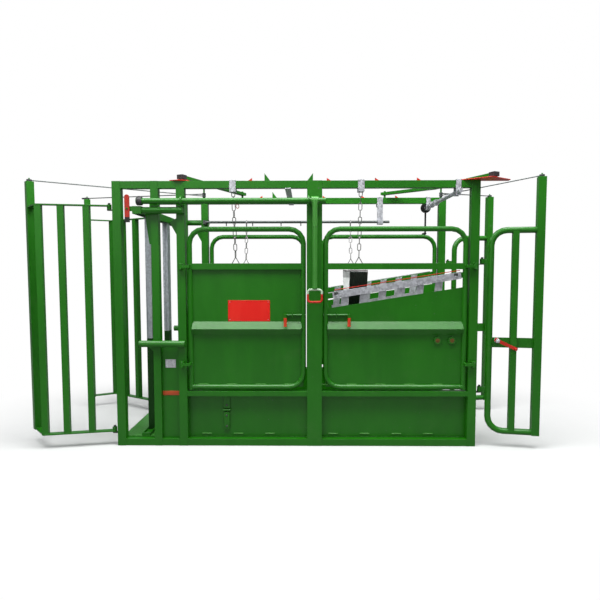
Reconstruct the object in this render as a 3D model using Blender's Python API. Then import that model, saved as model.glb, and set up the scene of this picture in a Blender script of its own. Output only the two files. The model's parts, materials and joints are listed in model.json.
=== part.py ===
"""Cattle crush: a welded steel holding cage for handling one animal.

Units are metres. +Z is up and the origin is on the floor, under the middle of the cage.
-X is the head end, +X the rear end and -Y the near side, where the operator stands.
The far side mirrors the near side, so most parts take a side: NEAR (-1) or FAR (+1).
"""
import bpy
import bmesh
from math import cos, hypot, pi, radians, sin, tan
from mathutils import Matrix, Vector

NEAR, FAR = -1, 1
GAP = 0.0003            # between pieces that touch
EASE = 0.0006           # running clearance of a pin or a bar in its hole

# Cage
LENGTH = 2.93           # over the corner posts
WIDTH = 1.00            # over the side frames
HEIGHT = 2.15
END = LENGTH / 2
POST_DEPTH = 0.060      # every post and rail lies in this depth
CORNER_POST = 0.068
NECK_POST = 0.060       # the post in front of the head panel
HINGE_POST = 0.066      # carries the front side doors
CENTRE_POST = 0.120
CORNER_X = END - CORNER_POST / 2
NECK_POST_X = -END + 0.337
HINGE_POST_X = -END + 0.545
CENTRE_POST_X = 0.153
TOP_RAIL = 0.058
SILL_Z = 0.452          # top of the rail under the side doors
SILL = 0.040
BASE_RAIL = 0.056
RAIL_INSET = 0.002      # rails sit this far inside the posts' faces
SHEET = 0.003
PANEL_BACK = 0.034      # fixed sheets behind the posts' outer faces
HEAD_PANEL_TOP = 0.835
LUG = 0.008             # small welded plates

# Floor
FLOOR_Z = 0.062         # top of the checker plate
FLOOR_PLATE = 0.005
FLOOR_JOIST = 0.040
JOISTS = 5
FLOOR_FRONT_X = -END + 0.025

# Side doors
DOOR_TUBE = 0.042
DOOR_Z = 0.463          # bottom of the door
DOOR_TOP = HEIGHT - 0.360
DOOR_BEND = 0.115       # centre line radius of the rounded corners
DOOR_GAP = 0.009        # door tube to post
DOOR_RAIL = 0.050
DOOR_RAIL_Z = HEIGHT - 0.680    # centre of the upper rail
DOOR_MID_RAIL = 0.058
DOOR_RIDGE = 0.038           # how far the mid rail's ridge stands out of the door's middle
DOOR_RIDGE_LOW = 0.050       # height of its lower flank
DOOR_MID_BITE = 0.006        # its ends inside the stiles
DOOR_MID_Z = DOOR_RAIL_Z - 0.477
DOOR_RAIL_DEPTH = 0.034
HINGE_OUT = 0.030       # hinge axis in front of the post
HINGE_AXIS_Y = WIDTH / 2 + HINGE_OUT
PIN = 0.008             # hinge pin radius
KNUCKLE = 0.016
KNUCKLE_LENGTH = 0.030
HINGE_Z = (0.680, DOOR_RAIL_Z)
FRONT_DOOR = dict(hinge=HINGE_POST_X, post=HINGE_POST, other=CENTRE_POST_X, out=1)
REAR_DOOR = dict(hinge=CORNER_X, post=CORNER_POST, other=CENTRE_POST_X, out=-1)

# Door bolts
BOLT = 0.009
BOLT_Z = DOOR_MID_Z + 0.083
BOLT_GRIP = 0.013
BOLT_CLEAR = 0.003           # from the grip to the ridge of the door's mid rail
BOLT_HANDLE = 0.090
BOLT_REACH = 0.030      # locked bolt inside the centre post
BOLT_BACK = 0.002       # drawn bolt's tip inside the stile's face
BOLT_SHOW = (0.125, 0.165)   # free length beyond the stile: front door, rear door
BOLT_LUG = 0.006
BOLT_OFF = 0.007        # bolt's axis in front of the door's middle plane

# Sloping slat racks on the rear doors
SLOPE = radians(8.9)
RACK_X = CENTRE_POST_X + 0.147      # front end of the sloping bar
RACK_LENGTH = END - RACK_X - 0.135
RACK_Z = DOOR_RAIL_Z - 0.234         # bar centre at its front end
RACK_BAR = 0.056
RACK_BAR_DEPTH = 0.008
RACK_BACKING = 0.012
RACK_BOLT = 0.010
SLATS = 6
SLAT = 0.060
SLAT_PITCH = 0.152
SLAT_FIRST = 0.105      # from the bar's front end
SLAT_DEPTH = 0.006
SLAT_DROP = 0.222
PANEL_TOP_DROP = 0.100  # the sloping panel top below the bar's centre
PLUG = 0.030
PLUG_PROUD = 0.012
PLUG_Z = RACK_Z - 0.368
PLUG_X = (END - 0.314, END - 0.197)

# Head bail
BAIL_X = -END + 0.215
BAIL_LEAF = (0.048, 0.085)      # along and across the cage
BAIL_REST = 0.255
TRACK = 0.070
TRACK_WALL = 0.008
TRACK_TOP = (HEIGHT - 0.265, HEIGHT - 0.205)
TRACK_LOW = (FLOOR_Z, FLOOR_Z + 0.024)
TRACK_REACH = WIDTH / 2 + 0.055
BAIL_Z = (TRACK_LOW[0] + TRACK_WALL + GAP, TRACK_TOP[0] + 0.033)
LOCK_X = -END + 0.143
LOCK_Z = TRACK_TOP[1] - 0.020
LOCK_PIN = 0.007
LOCK_BAR = (0.038, 0.215, 0.010)

# Guide tubes and roof teeth
GUIDE_TUBE = 0.027
GUIDE_SINK = 0.004
GUIDE_TUBES = ((HEIGHT - 0.236, BAIL_X + TRACK / 2 + GAP, HINGE_POST_X + 0.030),   # z, start and end x
               (HEAD_PANEL_TOP + 0.012, -END + 0.203, HINGE_POST_X + 0.029))
GUSSET_DROP = 0.110
TALL_GUSSET = (0.022, 0.262)    # width at its foot, drop below the upper tube
HOOK_GUSSET = (0.062, 0.170)    # on the hinge post: width, height
LUG_FOOT = 0.055
LUG_HEIGHT = 0.062
ROOF_LUG = 0.010
LUGS = ((-0.247, -1), (0.140, 1))           # x of the upright edge, side it leans to
STOP_FOOT = 0.050
STOP_HEIGHT = 0.024
STOPS = ((-0.347, 1), (0.250, -1), (0.634, -1), (0.968, -1))

# Operating shaft and hand lever
SHAFT = 0.0235
SHAFT_Z = HEIGHT - 0.165
SHAFT_OUT = 0.040
SHAFT_X = (-END + 0.248, CENTRE_POST_X + 0.088)
SHAFT_Y = -(WIDTH / 2 + SHAFT_OUT)
SHAFT_HANGERS = (HINGE_POST_X + 0.020, CENTRE_POST_X - 0.048)
HANGER = 0.012
CRANK_HUB = 0.036
LEVER_TUBE = 0.0195
LEVER_LENGTH = 0.690
LEVER_X = CENTRE_POST_X + 0.0005
LEVER_RING = (0.200, 0.006)     # below the shaft, height
LEVER_COLLAR = 0.028
GRIP_HALF = 0.055
GRIP_DROP = 0.098
GRIP_WIRE = 0.009

# End gates: hinge axis outside each corner post
GATE_OUT = 0.034        # hinge axis beyond the corner post
GATE_AXIS_X = END + GATE_OUT
GATE_PIN = 0.010
GATE_KNUCKLE = 0.018
GATE_KNUCKLE_LENGTH = 0.040
GATE_HINGES = {-1: (0.128, HEIGHT - 0.203), 1: (0.470, HEIGHT - 0.640)}
GATE_RAIL = 0.050       # flat rails laid level
GATE_RAIL_THICK = 0.010
GATE_BAR = 0.047
FRONT_LEAF = WIDTH / 2 + 0.030      # hinge to bend
FRONT_BARS = (FRONT_LEAF * 0.33, FRONT_LEAF * 0.69)
FRONT_RETURN = 0.235    # bend to tall post
FRONT_BEND = 58
TALL_POST = 0.058
TALL_POST_Z = (0.109, HEIGHT + 0.015)
FRONT_OPEN = {NEAR: 11, FAR: 30}     # degrees outward from the cage's side
REAR_OPEN = {NEAR: 9, FAR: 9}
REAR_TUBE = 0.050
REAR_STILE = 0.068      # hinge axis to stile
REAR_LEAF = WIDTH / 2 - 0.068       # hinge axis to tall post
REAR_BAR = REAR_LEAF * 0.58
REAR_Z = (0.105, HEIGHT - 0.370)
REAR_BEND = 0.120
CROSS_PLATE_Z = (0.815, 0.896)
CROSS_PLATE = 0.006
LATCH_PIN = 0.007
LATCH_PIN_LENGTH = 0.048
LATCH_BAR = (0.190, 0.026, 0.008)
LATCH_DROP = 25
LATCH_STANDOFF = 0.030

# Roof levers and the rods that turn the gates
LEVER_WIDE = 0.050
LEVER_TALL = 0.026
LEVER_Z = HEIGHT + STOP_HEIGHT + 0.004 + LEVER_TALL / 2    # clears the roof stops
LEVER_PIN = 0.010
LEVER_PIN_TOP = LEVER_Z + LEVER_TALL / 2 + 0.012
FRONT_PIVOT = -END + 0.920
REAR_PIVOT = END - 0.600
FRONT_HANDLE = (-END + 0.556, -WIDTH / 2 + 0.099)
REAR_HANDLE = (END + 0.087, -WIDTH / 2 + 0.017)
REAR_KNEE = (END - 0.200, 0.130)    # where the rear lever bends
FRONT_BOLT = (-END + 0.635, 0.0)
REAR_BOLT = (END - 0.175, 0.0)
ROD = 0.0045
ROD_EYE = 0.020
ROD_EYE_THICK = 0.014
ROD_BOLT_Z = TALL_POST_Z[1] - 0.037
ROD_BOSS = 0.016
EYE_STEP = ROD_EYE_THICK + 0.004     # between the two bosses under a lever bolt
EYE_LIFT = 0.003        # collar under a rod's eye
POST_PIN = 0.006
BOLT_PIN = 0.008
CAP = 0.056
GUIDE_PLATE = 0.006
GUIDE_BOW = 0.008
FRONT_GUIDE = (FRONT_HANDLE[0] - 0.095, FRONT_HANDLE[0] + 0.057)
REAR_GUIDE = (REAR_HANDLE[0] - 0.237, REAR_HANDLE[0] + 0.149)
GUIDE_REACH = (0.022, 0.127)    # in front of the side frame: front plate, rear plate

# Belly belts on chains
CROSS_X = -0.060
CROSS_BAR = (0.048, 0.008)
HANGER_WALL = 0.006
HANGER_WIDE = 0.050
HANGER_DROP = 0.030
HANGER_PIN = 0.005
CHAIN_WIRE = 0.0035
CHAIN_LINK = (0.064, 0.026)
LINK_BITE = 0.0021      # how far neighbouring links' centre lines pass each other
LINK_TURNS = (7, 98)    # in turn, about the chain's length
BELTS = dict(front=-0.500, rear=0.522)
BELT_WIDE = 0.150
BELT_THICK = 0.010
BELT_Y = WIDTH / 2 - 0.140
BELT_TOP = HEIGHT - 0.722
BELT_SAG = 0.420
BELT_STEPS = 22
BELT_BAR = 0.008
SLING_DROP = 0.112
RING = 0.032
RING_SIDES = 10
STRAP_ROD = 0.0125
STRAP_ROD_Y = WIDTH / 2 - 0.082
STRAP_ROD_Z = HEIGHT - 0.240
STRAP_ROD_X = (HINGE_POST_X + 0.020, 0.905)
STRAP_FOOT = 0.020
PEGS = (-0.700, -0.440, -0.160, 0.035)
PEG = (0.005, 0.038)    # radius, drop
ROD_HANGER_X = STRAP_ROD_X[1] - 0.090

# Lift shaft across the rear of the roof
LIFT_X = END - 0.175
LIFT_Z = HEIGHT - 0.090
LIFT_SHAFT = 0.017
LIFT_REACH = (-WIDTH / 2 - 0.060, WIDTH / 2 + 0.060)
LIFT_WIDE = 0.040
LIFT_LEG = 0.062
RATCHET = 0.050
RATCHET_THICK = 0.022
CRANK_ARM = 0.255
CRANK_GRIP = 0.090
CRANK_ROD = 0.009
LIFT_HOOKS = (0.150, 0.300)

# Small plates
SIGN = (0.342, 0.172)
SIGN_AT = (-0.380, DOOR_MID_Z + 0.117)
DATA_PLATE = (0.085, 0.068)
DATA_AT = (-END + 0.438, 0.676)
PLATE_THICK = 0.002


def clear_scene():
    for item in list(bpy.data.objects):
        bpy.data.objects.remove(item, do_unlink=True)
    for group in list(bpy.data.collections):
        bpy.data.collections.remove(group)


clear_scene()
CRUSH = bpy.data.collections.new("cattle_crush")
bpy.context.scene.collection.children.link(CRUSH)


def material(name, colour, roughness, metallic):
    mat = bpy.data.materials.new(name)
    mat.use_nodes = True
    shader = mat.node_tree.nodes["Principled BSDF"]
    shader.inputs["Base Color"].default_value = (*colour, 1)
    shader.inputs["Roughness"].default_value = roughness
    shader.inputs["Metallic"].default_value = metallic
    return mat


PAINT = dict(colour=(0.012, 0.150, 0.004), roughness=0.42, metallic=0.0)
RED = dict(colour=(0.520, 0.018, 0.010), roughness=0.40, metallic=0.0)
GALVANISED = dict(colour=(0.500, 0.510, 0.560), roughness=0.45, metallic=0.9)
BLACK = dict(colour=(0.012, 0.014, 0.013), roughness=0.60, metallic=0.0)
STEEL = dict(colour=(0.110, 0.130, 0.115), roughness=0.45, metallic=0.8)
RUBBER = dict(colour=(0.040, 0.045, 0.042), roughness=0.85, metallic=0.0)
WHITE = dict(colour=(0.750, 0.760, 0.740), roughness=0.35, metallic=0.0)


# Building blocks: each returns a loose mesh object that fuse() joins and names

def from_bmesh(bm):
    mesh = bpy.data.meshes.new("piece")
    bmesh.ops.recalc_face_normals(bm, faces=bm.faces)
    bm.to_mesh(mesh)
    bm.free()
    piece = bpy.data.objects.new("piece", mesh)
    CRUSH.objects.link(piece)
    return piece


def box(x, y, z):
    """A box from three (low, high) spans, in either order."""
    bm = bmesh.new()
    size = [abs(span[1] - span[0]) for span in (x, y, z)]
    middle = [(span[0] + span[1]) / 2 for span in (x, y, z)]
    bmesh.ops.create_cube(bm, size=1, matrix=Matrix.Translation(middle) @ Matrix.Diagonal((*size, 1)))
    return from_bmesh(bm)


def bar(start, end, width, height, overrun=0.0):
    """A straight rectangular bar between two points; height is measured in the upright plane."""
    start, end = Vector(start), Vector(end)
    along = (end - start).normalized()
    side = along.cross(Vector((0, 0, 1)))
    side = side.normalized() if side.length > 1e-6 else Vector((1, 0, 0))
    rise = side.cross(along)
    turn = Matrix((along, side, rise)).transposed().to_4x4()
    length = (end - start).length + 2 * overrun
    bm = bmesh.new()
    bmesh.ops.create_cube(bm, size=1, matrix=Matrix.Translation((start + end) / 2) @ turn
                          @ Matrix.Diagonal((length, width, height, 1)))
    return from_bmesh(bm)


def rod(start, end, radius, sides=12):
    """A round bar between two points."""
    start, end = Vector(start), Vector(end)
    turn = (end - start).to_track_quat("Z", "Y").to_matrix().to_4x4()
    bm = bmesh.new()
    bmesh.ops.create_cone(bm, cap_ends=True, segments=sides, radius1=radius, radius2=radius,
                          depth=(end - start).length,
                          matrix=Matrix.Translation((start + end) / 2) @ turn)
    return from_bmesh(bm)


def arc(centre, radius, start, end, steps, place):
    """Points on an arc in degrees; place maps the two plane coordinates to a 3D point."""
    turns = [radians(start + (end - start) * i / steps) for i in range(steps + 1)]
    return [place(centre[0] + radius * cos(t), centre[1] + radius * sin(t)) for t in turns]


def pipe(points, radius, sides=10, closed=False):
    """A round tube along points, made from a bevelled curve."""
    curve = bpy.data.curves.new("path", "CURVE")
    curve.dimensions = "3D"
    curve.bevel_depth = radius
    curve.bevel_resolution = sides // 2 - 2
    curve.use_fill_caps = not closed
    spline = curve.splines.new("POLY")
    spline.points.add(len(points) - 1)
    spline.use_cyclic_u = closed
    for point, place in zip(spline.points, points):
        point.co = (*place, 1)
    return curve_to_mesh(curve)


def plate(points, thickness, place):
    """A flat plate: an outline of 2D points, extruded, then placed by a matrix."""
    curve = bpy.data.curves.new("outline", "CURVE")
    curve.dimensions = "2D"
    curve.fill_mode = "BOTH"
    curve.extrude = thickness / 2
    spline = curve.splines.new("POLY")
    spline.points.add(len(points) - 1)
    spline.use_cyclic_u = True
    for point, (u, v) in zip(spline.points, points):
        point.co = (u, v, 0, 1)
    piece = curve_to_mesh(curve)
    piece.data.transform(place)
    return piece


def curve_to_mesh(curve):
    guide = bpy.data.objects.new("guide", curve)
    CRUSH.objects.link(guide)
    bpy.context.view_layer.update()
    mesh = bpy.data.meshes.new_from_object(guide.evaluated_get(bpy.context.evaluated_depsgraph_get()))
    bpy.data.objects.remove(guide, do_unlink=True)
    bm = bmesh.new()
    bm.from_mesh(mesh)
    bmesh.ops.remove_doubles(bm, verts=bm.verts, dist=0.00002)
    return from_bmesh(bm)


def upright(y, sign=1):
    """Plate placement: outline (u, v) becomes (x, z) on the plane at y."""
    return Matrix(((1, 0, 0, 0), (0, 0, -sign, y), (0, 1, 0, 0), (0, 0, 0, 1)))


def level(z):
    """Plate placement: outline (u, v) becomes (x, y) on the plane at z."""
    return Matrix.Translation((0, 0, z))


def crosswise(x):
    """Plate placement: outline (u, v) becomes (y, z) on the plane at x."""
    return Matrix(((0, 0, 1, x), (1, 0, 0, 0), (0, 1, 0, 0), (0, 0, 0, 1)))


def combine(base, piece, operation):
    """Apply one Boolean to base and remove the other piece."""
    cut = base.modifiers.new("join", "BOOLEAN")
    cut.operation = operation
    cut.solver = "EXACT"
    cut.object = piece
    bpy.context.view_layer.update()
    graph = bpy.context.evaluated_depsgraph_get()
    mesh = bpy.data.meshes.new_from_object(base.evaluated_get(graph))
    base.modifiers.clear()
    base.data = mesh
    bpy.data.objects.remove(piece, do_unlink=True)


def fuse(name, look, pieces, cuts=(), origin=(0, 0, 0), smooth=True):
    """Weld pieces into one solid, cut it, name it, colour it and put its origin on its axis."""
    base = pieces[0]
    for piece in pieces[1:]:
        combine(base, piece, "UNION")
    for piece in cuts:
        combine(base, piece, "DIFFERENCE")
    bm = bmesh.new()
    bm.from_mesh(base.data)
    bmesh.ops.remove_doubles(bm, verts=bm.verts, dist=0.00002)
    bmesh.ops.dissolve_degenerate(bm, edges=bm.edges, dist=0.00002)
    bmesh.ops.dissolve_limit(bm, angle_limit=radians(0.5), verts=bm.verts, edges=bm.edges)
    bmesh.ops.triangulate(bm, faces=[face for face in bm.faces if len(face.verts) > 4])
    bm.to_mesh(base.data)
    bm.free()
    base.data.transform(Matrix.Translation(-Vector(origin)))
    base.location = origin
    base.name = base.data.name = name
    base.data.materials.clear()
    base.data.materials.append(material(name + "_finish", **look))
    if smooth:
        base.data.shade_smooth()
        base.data.set_sharp_from_angle(angle=radians(35))
    return base


# Places and fittings shared by several parts

def face_y(side):
    """Outer face of a side frame."""
    return side * WIDTH / 2


def inner_y(side):
    return side * (WIDTH / 2 - POST_DEPTH)


def mid_y(side):
    return side * (WIDTH / 2 - POST_DEPTH / 2)


def post_span(x, width):
    return x - width / 2, x + width / 2


def hinge_lug(x, y, z, side, reach):
    """A level lug from the side frame's face round a hinge pin."""
    wide = KNUCKLE
    outline = [(x - wide, side * reach), (x + wide, side * reach), (x + wide, y)]
    outline += arc((x, y), wide, 0, side * 180, 6, lambda u, v: (u, v))[1:-1]
    outline += [(x - wide, y)]
    return plate(outline, LUG, level(z))


def door_pintles(x, side):
    """Two lugs and a pin at each hinge height, welded to a post."""
    pieces = []
    for z in HINGE_Z:
        spread = KNUCKLE_LENGTH / 2 + LUG / 2 + 2 * GAP
        for end in (-1, 1):
            pieces.append(hinge_lug(x, side * HINGE_AXIS_Y, z + end * spread, side, WIDTH / 2 - POST_DEPTH / 2))
        tall = spread + LUG / 2 + 0.004
        pieces.append(rod((x, side * HINGE_AXIS_Y, z - tall), (x, side * HINGE_AXIS_Y, z + tall), PIN, 10))
    return pieces


def side_frame(side, name):
    """Posts, rails, guide tubes, roof lugs and hinge pintles of one side."""
    face, inner = face_y(side), inner_y(side)
    across = (face, inner)
    inset = (face - side * RAIL_INSET, inner + side * RAIL_INSET)
    ends = (-LENGTH / 2 + RAIL_INSET, LENGTH / 2 - RAIL_INSET)
    pieces = [box(post_span(-CORNER_X, CORNER_POST), across, (0, HEIGHT))]
    for x, width in ((NECK_POST_X, NECK_POST), (HINGE_POST_X, HINGE_POST), (CENTRE_POST_X, CENTRE_POST),
                     (CORNER_X, CORNER_POST)):
        pieces.append(box(post_span(x, width), across, (0, HEIGHT)))
    pieces.append(box(ends, inset, (HEIGHT - TOP_RAIL, HEIGHT - RAIL_INSET / 2)))
    pieces.append(box(ends, inset, (RAIL_INSET / 2, BASE_RAIL)))
    pieces.append(box((HINGE_POST_X, ends[1]), inset, (SILL_Z - SILL, SILL_Z)))
    for z, start, stop in GUIDE_TUBES:
        y = side * (WIDTH / 2 + GUIDE_TUBE - GUIDE_SINK)
        pieces.append(rod((start, y, z), (stop, y, z), GUIDE_TUBE, 12))
    gusset = [(GUIDE_TUBES[1][1] + 0.030, GUIDE_TUBES[1][0]), (NECK_POST_X, GUIDE_TUBES[1][0]),
              (NECK_POST_X, GUIDE_TUBES[1][0] - GUSSET_DROP)]
    pieces.append(plate(gusset, LUG, upright(side * (WIDTH / 2 - POST_DEPTH / 2))))
    foot, drop = TALL_GUSSET
    level_z, post = GUIDE_TUBES[0][0], NECK_POST_X - NECK_POST / 2
    tall = [(BAIL_X + TRACK / 2 + 0.003, level_z - GUIDE_TUBE * 0.6), (NECK_POST_X, level_z - GUIDE_TUBE * 0.6),
            (NECK_POST_X, level_z - drop - 0.020), (post - foot, level_z - drop)]
    pieces.append(plate(tall, LUG, upright(side * (WIDTH / 2 - POST_DEPTH / 2 - 0.001))))
    edge, low = HINGE_POST_X - HINGE_POST / 2, level_z - GUIDE_TUBE - HOOK_GUSSET[1] - 0.020
    hook = [(edge - HOOK_GUSSET[0], low + HOOK_GUSSET[1] * 0.75), (edge + 0.010, low + HOOK_GUSSET[1]),
            (edge + 0.010, low)]
    pieces.append(plate(hook, LUG, upright(side * (WIDTH / 2 - POST_DEPTH / 2 - 0.002))))
    for x, lean in LUGS:
        tooth = [(x, HEIGHT - 0.010), (x - lean * LUG_FOOT, HEIGHT - 0.010), (x, HEIGHT + LUG_HEIGHT)]
        pieces.append(plate(tooth, ROOF_LUG, upright(mid_y(side))))
    for x, lean in STOPS:
        tooth = [(x, HEIGHT - 0.010), (x - lean * STOP_FOOT, HEIGHT - 0.010), (x, HEIGHT + STOP_HEIGHT)]
        pieces.append(plate(tooth, ROOF_LUG, upright(mid_y(side))))
    for x in (HINGE_POST_X, CORNER_X):
        pieces += door_pintles(x, side)
    for end in (-1, 1):
        pieces += gate_pintles(end, side)
    if side == FAR:
        for x in (FRONT_PIVOT, REAR_PIVOT):
            foot, top = (x, mid_y(side), HEIGHT - 0.020), (x, mid_y(side), LEVER_PIN_TOP)
            pieces.append(rod(foot, top, LEVER_PIN, 12))
    else:
        pieces += shaft_hangers(side)
    sockets = []
    for door in (FRONT_DOOR, REAR_DOOR):
        edge = door["other"] - door["out"] * CENTRE_POST / 2
        y = mid_y(side) + side * BOLT_OFF
        mouth, end = edge - door["out"] * 0.01, edge + door["out"] * (BOLT_REACH + 0.004)
        sockets.append(rod((mouth, y, BOLT_Z), (end, y, BOLT_Z), BOLT + EASE, 12))
    return fuse(name, PAINT, pieces, sockets)


def shaft_hangers(side):
    """Plates with an eye that carry the operating shaft in front of the posts."""
    pieces = []
    for x in SHAFT_HANGERS:
        outline = arc((SHAFT_Y, SHAFT_Z), SHAFT + 0.016, 90, 270, 8, lambda u, v: (u, v))
        outline += [(inner_y(side) - 0.020, SHAFT_Z - SHAFT - 0.016),
                    (inner_y(side) - 0.020, SHAFT_Z + SHAFT + 0.016)]
        eye = plate(outline, HANGER, crosswise(x))
        combine(eye, rod((x - HANGER, SHAFT_Y, SHAFT_Z), (x + HANGER, SHAFT_Y, SHAFT_Z), SHAFT + EASE, 16),
                "DIFFERENCE")
        pieces.append(eye)
    return pieces


def gate_pintles(end, side):
    """A lug under each gate knuckle with an upright pin, on the outer side of a corner post."""
    pieces = []
    x, y = end * GATE_AXIS_X, mid_y(side)
    for z in GATE_HINGES[end]:
        drop = GATE_KNUCKLE_LENGTH / 2 + LUG / 2 + GAP
        outline = [(end * (LENGTH / 2 - 0.020), y + GATE_KNUCKLE), (x, y + GATE_KNUCKLE)]
        outline += arc((x, y), GATE_KNUCKLE, 90, 90 - end * 180, 6, lambda u, v: (u, v))[1:-1]
        outline += [(x, y - GATE_KNUCKLE), (end * (LENGTH / 2 - 0.020), y - GATE_KNUCKLE)]
        pieces.append(plate(outline, LUG, level(z - drop)))
        pieces.append(rod((x, y, z - drop), (x, y, z + GATE_KNUCKLE_LENGTH / 2 + 0.012), GATE_PIN, 12))
    return pieces


def sheet_panel(name, x, z, side):
    """A flat sheet let in between posts and rails, a gap clear of each."""
    y = side * (WIDTH / 2 - PANEL_BACK)
    return fuse(name, PAINT, [box((x[0] + GAP, x[1] - GAP), (y, y - side * SHEET), (z[0] + GAP, z[1] - GAP))])


def side_panels(side, prefix):
    """Kick panel under the doors and head panel beside the neck."""
    y = inner_y(side) - side * GAP
    kick = box((HINGE_POST_X - HINGE_POST / 2, LENGTH / 2 - RAIL_INSET), (y, y - side * SHEET),
               (FLOOR_Z + GAP, SILL_Z))
    fuse(prefix + "_kick_panel", PAINT, [kick])
    neck = (NECK_POST_X + NECK_POST / 2, HINGE_POST_X - HINGE_POST / 2)
    sheet_panel(prefix + "_head_panel", neck, (BASE_RAIL, HEAD_PANEL_TOP), side)


def door_spans(door):
    """Hinge stile and latch stile centre lines of a door, as x."""
    out = door["out"]
    hinge = door["hinge"] + out * (door["post"] / 2 + DOOR_GAP + DOOR_TUBE / 2)
    latch = door["other"] - out * (CENTRE_POST / 2 + DOOR_GAP + DOOR_TUBE / 2)
    return hinge, latch


def door_loop(door, y):
    """The door's bent tube: up the hinge stile, over the top, down and back along the bottom."""
    hinge, latch = door_spans(door)
    out = door["out"]
    low, high = DOOR_Z + DOOR_TUBE / 2, DOOR_TOP - DOOR_TUBE / 2
    bend = DOOR_BEND
    place = lambda u, v: (u, y, v)
    points = [(hinge, y, DOOR_Z)]
    points += arc((hinge + out * bend, high - bend), bend, 180 if out > 0 else 0, 90, 4, place)
    points += arc((latch - out * bend, high - bend), bend, 90, 0 if out > 0 else 180, 4, place)
    points += arc((latch - out * bend, low + bend), bend, 0 if out > 0 else -180, -90, 4, place)
    points.append((hinge + out * (DOOR_TUBE / 2 + 0.0005), y, low))
    return pipe(points, DOOR_TUBE / 2, 12)


def side_door(door, side, name, rack=False):
    """One side door: bent tube frame, rails, sheet, hinge knuckles and bolt lug."""
    y = mid_y(side)
    hinge, latch = door_spans(door)
    out = door["out"]
    axis_x, axis_y = door["hinge"], side * HINGE_AXIS_Y
    pieces = [door_loop(door, y)]
    weld = hinge + out * DOOR_TUBE / 2
    low = DOOR_Z + DOOR_TUBE / 2
    pieces.append(rod((weld - out * 0.012, y, low), (weld + out * 0.006, y, low), DOOR_TUBE / 2 + 0.002, 12))
    depth = (y + side * DOOR_RAIL_DEPTH / 2, y - side * DOOR_RAIL_DEPTH / 2)
    pieces.append(box((hinge, latch), depth, post_span(DOOR_RAIL_Z, DOOR_RAIL)))
    ridge, top = DOOR_MID_Z - DOOR_MID_RAIL / 2, DOOR_MID_Z + DOOR_MID_RAIL / 2
    foot = ridge - DOOR_RIDGE_LOW
    folded = [(depth[1], foot), (y - side * 0.002, foot), (y + side * DOOR_RIDGE, ridge),
              (y - side * 0.002, top), (depth[1], top)]
    between = abs(hinge - latch) - DOOR_TUBE + 2 * DOOR_MID_BITE
    pieces.append(plate(folded, between, crosswise((hinge + latch) / 2)))
    for z in HINGE_Z:
        barrel = rod((axis_x, axis_y, z - KNUCKLE_LENGTH / 2), (axis_x, axis_y, z + KNUCKLE_LENGTH / 2), KNUCKLE, 12)
        strap_y = (axis_y - side * KNUCKLE * 0.2, axis_y + side * KNUCKLE * 0.6)
        strap = box((axis_x, hinge + out * 0.010), strap_y, (z - 0.012, z + 0.012))
        tail = box((hinge - out * 0.009, hinge + out * 0.009), (y, axis_y), (z - 0.011, z + 0.011))
        pieces += [barrel, strap, tail]
    sheet_y = (y - side * 0.004, y - side * (0.004 + SHEET))
    if rack:
        left, right = sorted((hinge, latch))
        top = [rack_height(x) - PANEL_TOP_DROP for x in (left, right)]
        outline = [(left, low), (right, low), (right, top[1]), (left, top[0])]
        pieces.append(plate(outline, SHEET, upright(sum(sheet_y) / 2)))
        start, stop = (left, y, rack_height(left)), (right, y, rack_height(right))
        pieces.append(bar(start, stop, RACK_BACKING, RACK_BAR * 0.8))
        if side == NEAR:
            for x in PLUG_X:
                pieces.append(rod((x, y - side * 0.006, PLUG_Z), (x, y + side * PLUG_PROUD, PLUG_Z), PLUG, 16))
    else:
        pieces.append(box((hinge, latch), sheet_y, (low, DOOR_RAIL_Z)))
    guide = latch - out * (DOOR_TUBE / 2 + BOLT_SHOW[0] * 0.55)
    pieces.append(box(post_span(guide, BOLT_LUG), (sheet_y[0] - side * 0.001, y + side * 0.024),
                      post_span(BOLT_Z, 0.040)))
    bolt_y = y + side * BOLT_OFF
    cuts = [rod((axis_x, axis_y, z - 0.030), (axis_x, axis_y, z + 0.030), PIN + EASE, 12) for z in HINGE_Z]
    cuts.append(rod((guide - out * 0.040, bolt_y, BOLT_Z), (latch + out * 0.060, bolt_y, BOLT_Z),
                    BOLT + EASE, 12))
    return fuse(name, PAINT, pieces, cuts, origin=(axis_x, axis_y, 0))


def rack_height(x):
    return RACK_Z + (x - RACK_X) * tan(SLOPE)


def door_bolt(door, side, name, show):
    """A sliding round bolt with a bent grip, from the door into the centre post."""
    hinge, latch = door_spans(door)
    out = door["out"]
    y = mid_y(side) + side * BOLT_OFF
    tip = latch + out * (DOOR_TUBE / 2 - BOLT_BACK)
    tail = latch - out * (DOOR_TUBE / 2 + show)
    pieces = [rod((tail, y, BOLT_Z), (tip, y, BOLT_Z), BOLT, 10)]
    grip_y = mid_y(side) + side * (DOOR_RIDGE + BOLT_GRIP + BOLT_CLEAR)
    pieces.append(rod((tail, y - side * BOLT * 0.5, BOLT_Z), (tail, grip_y, BOLT_Z), BOLT * 0.9, 10))
    pieces.append(rod((tail, grip_y, BOLT_Z + 0.012), (tail, grip_y, BOLT_Z - BOLT_HANDLE), BOLT_GRIP, 10))
    return fuse(name, RED, pieces, origin=(tail, y, BOLT_Z))


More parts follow.
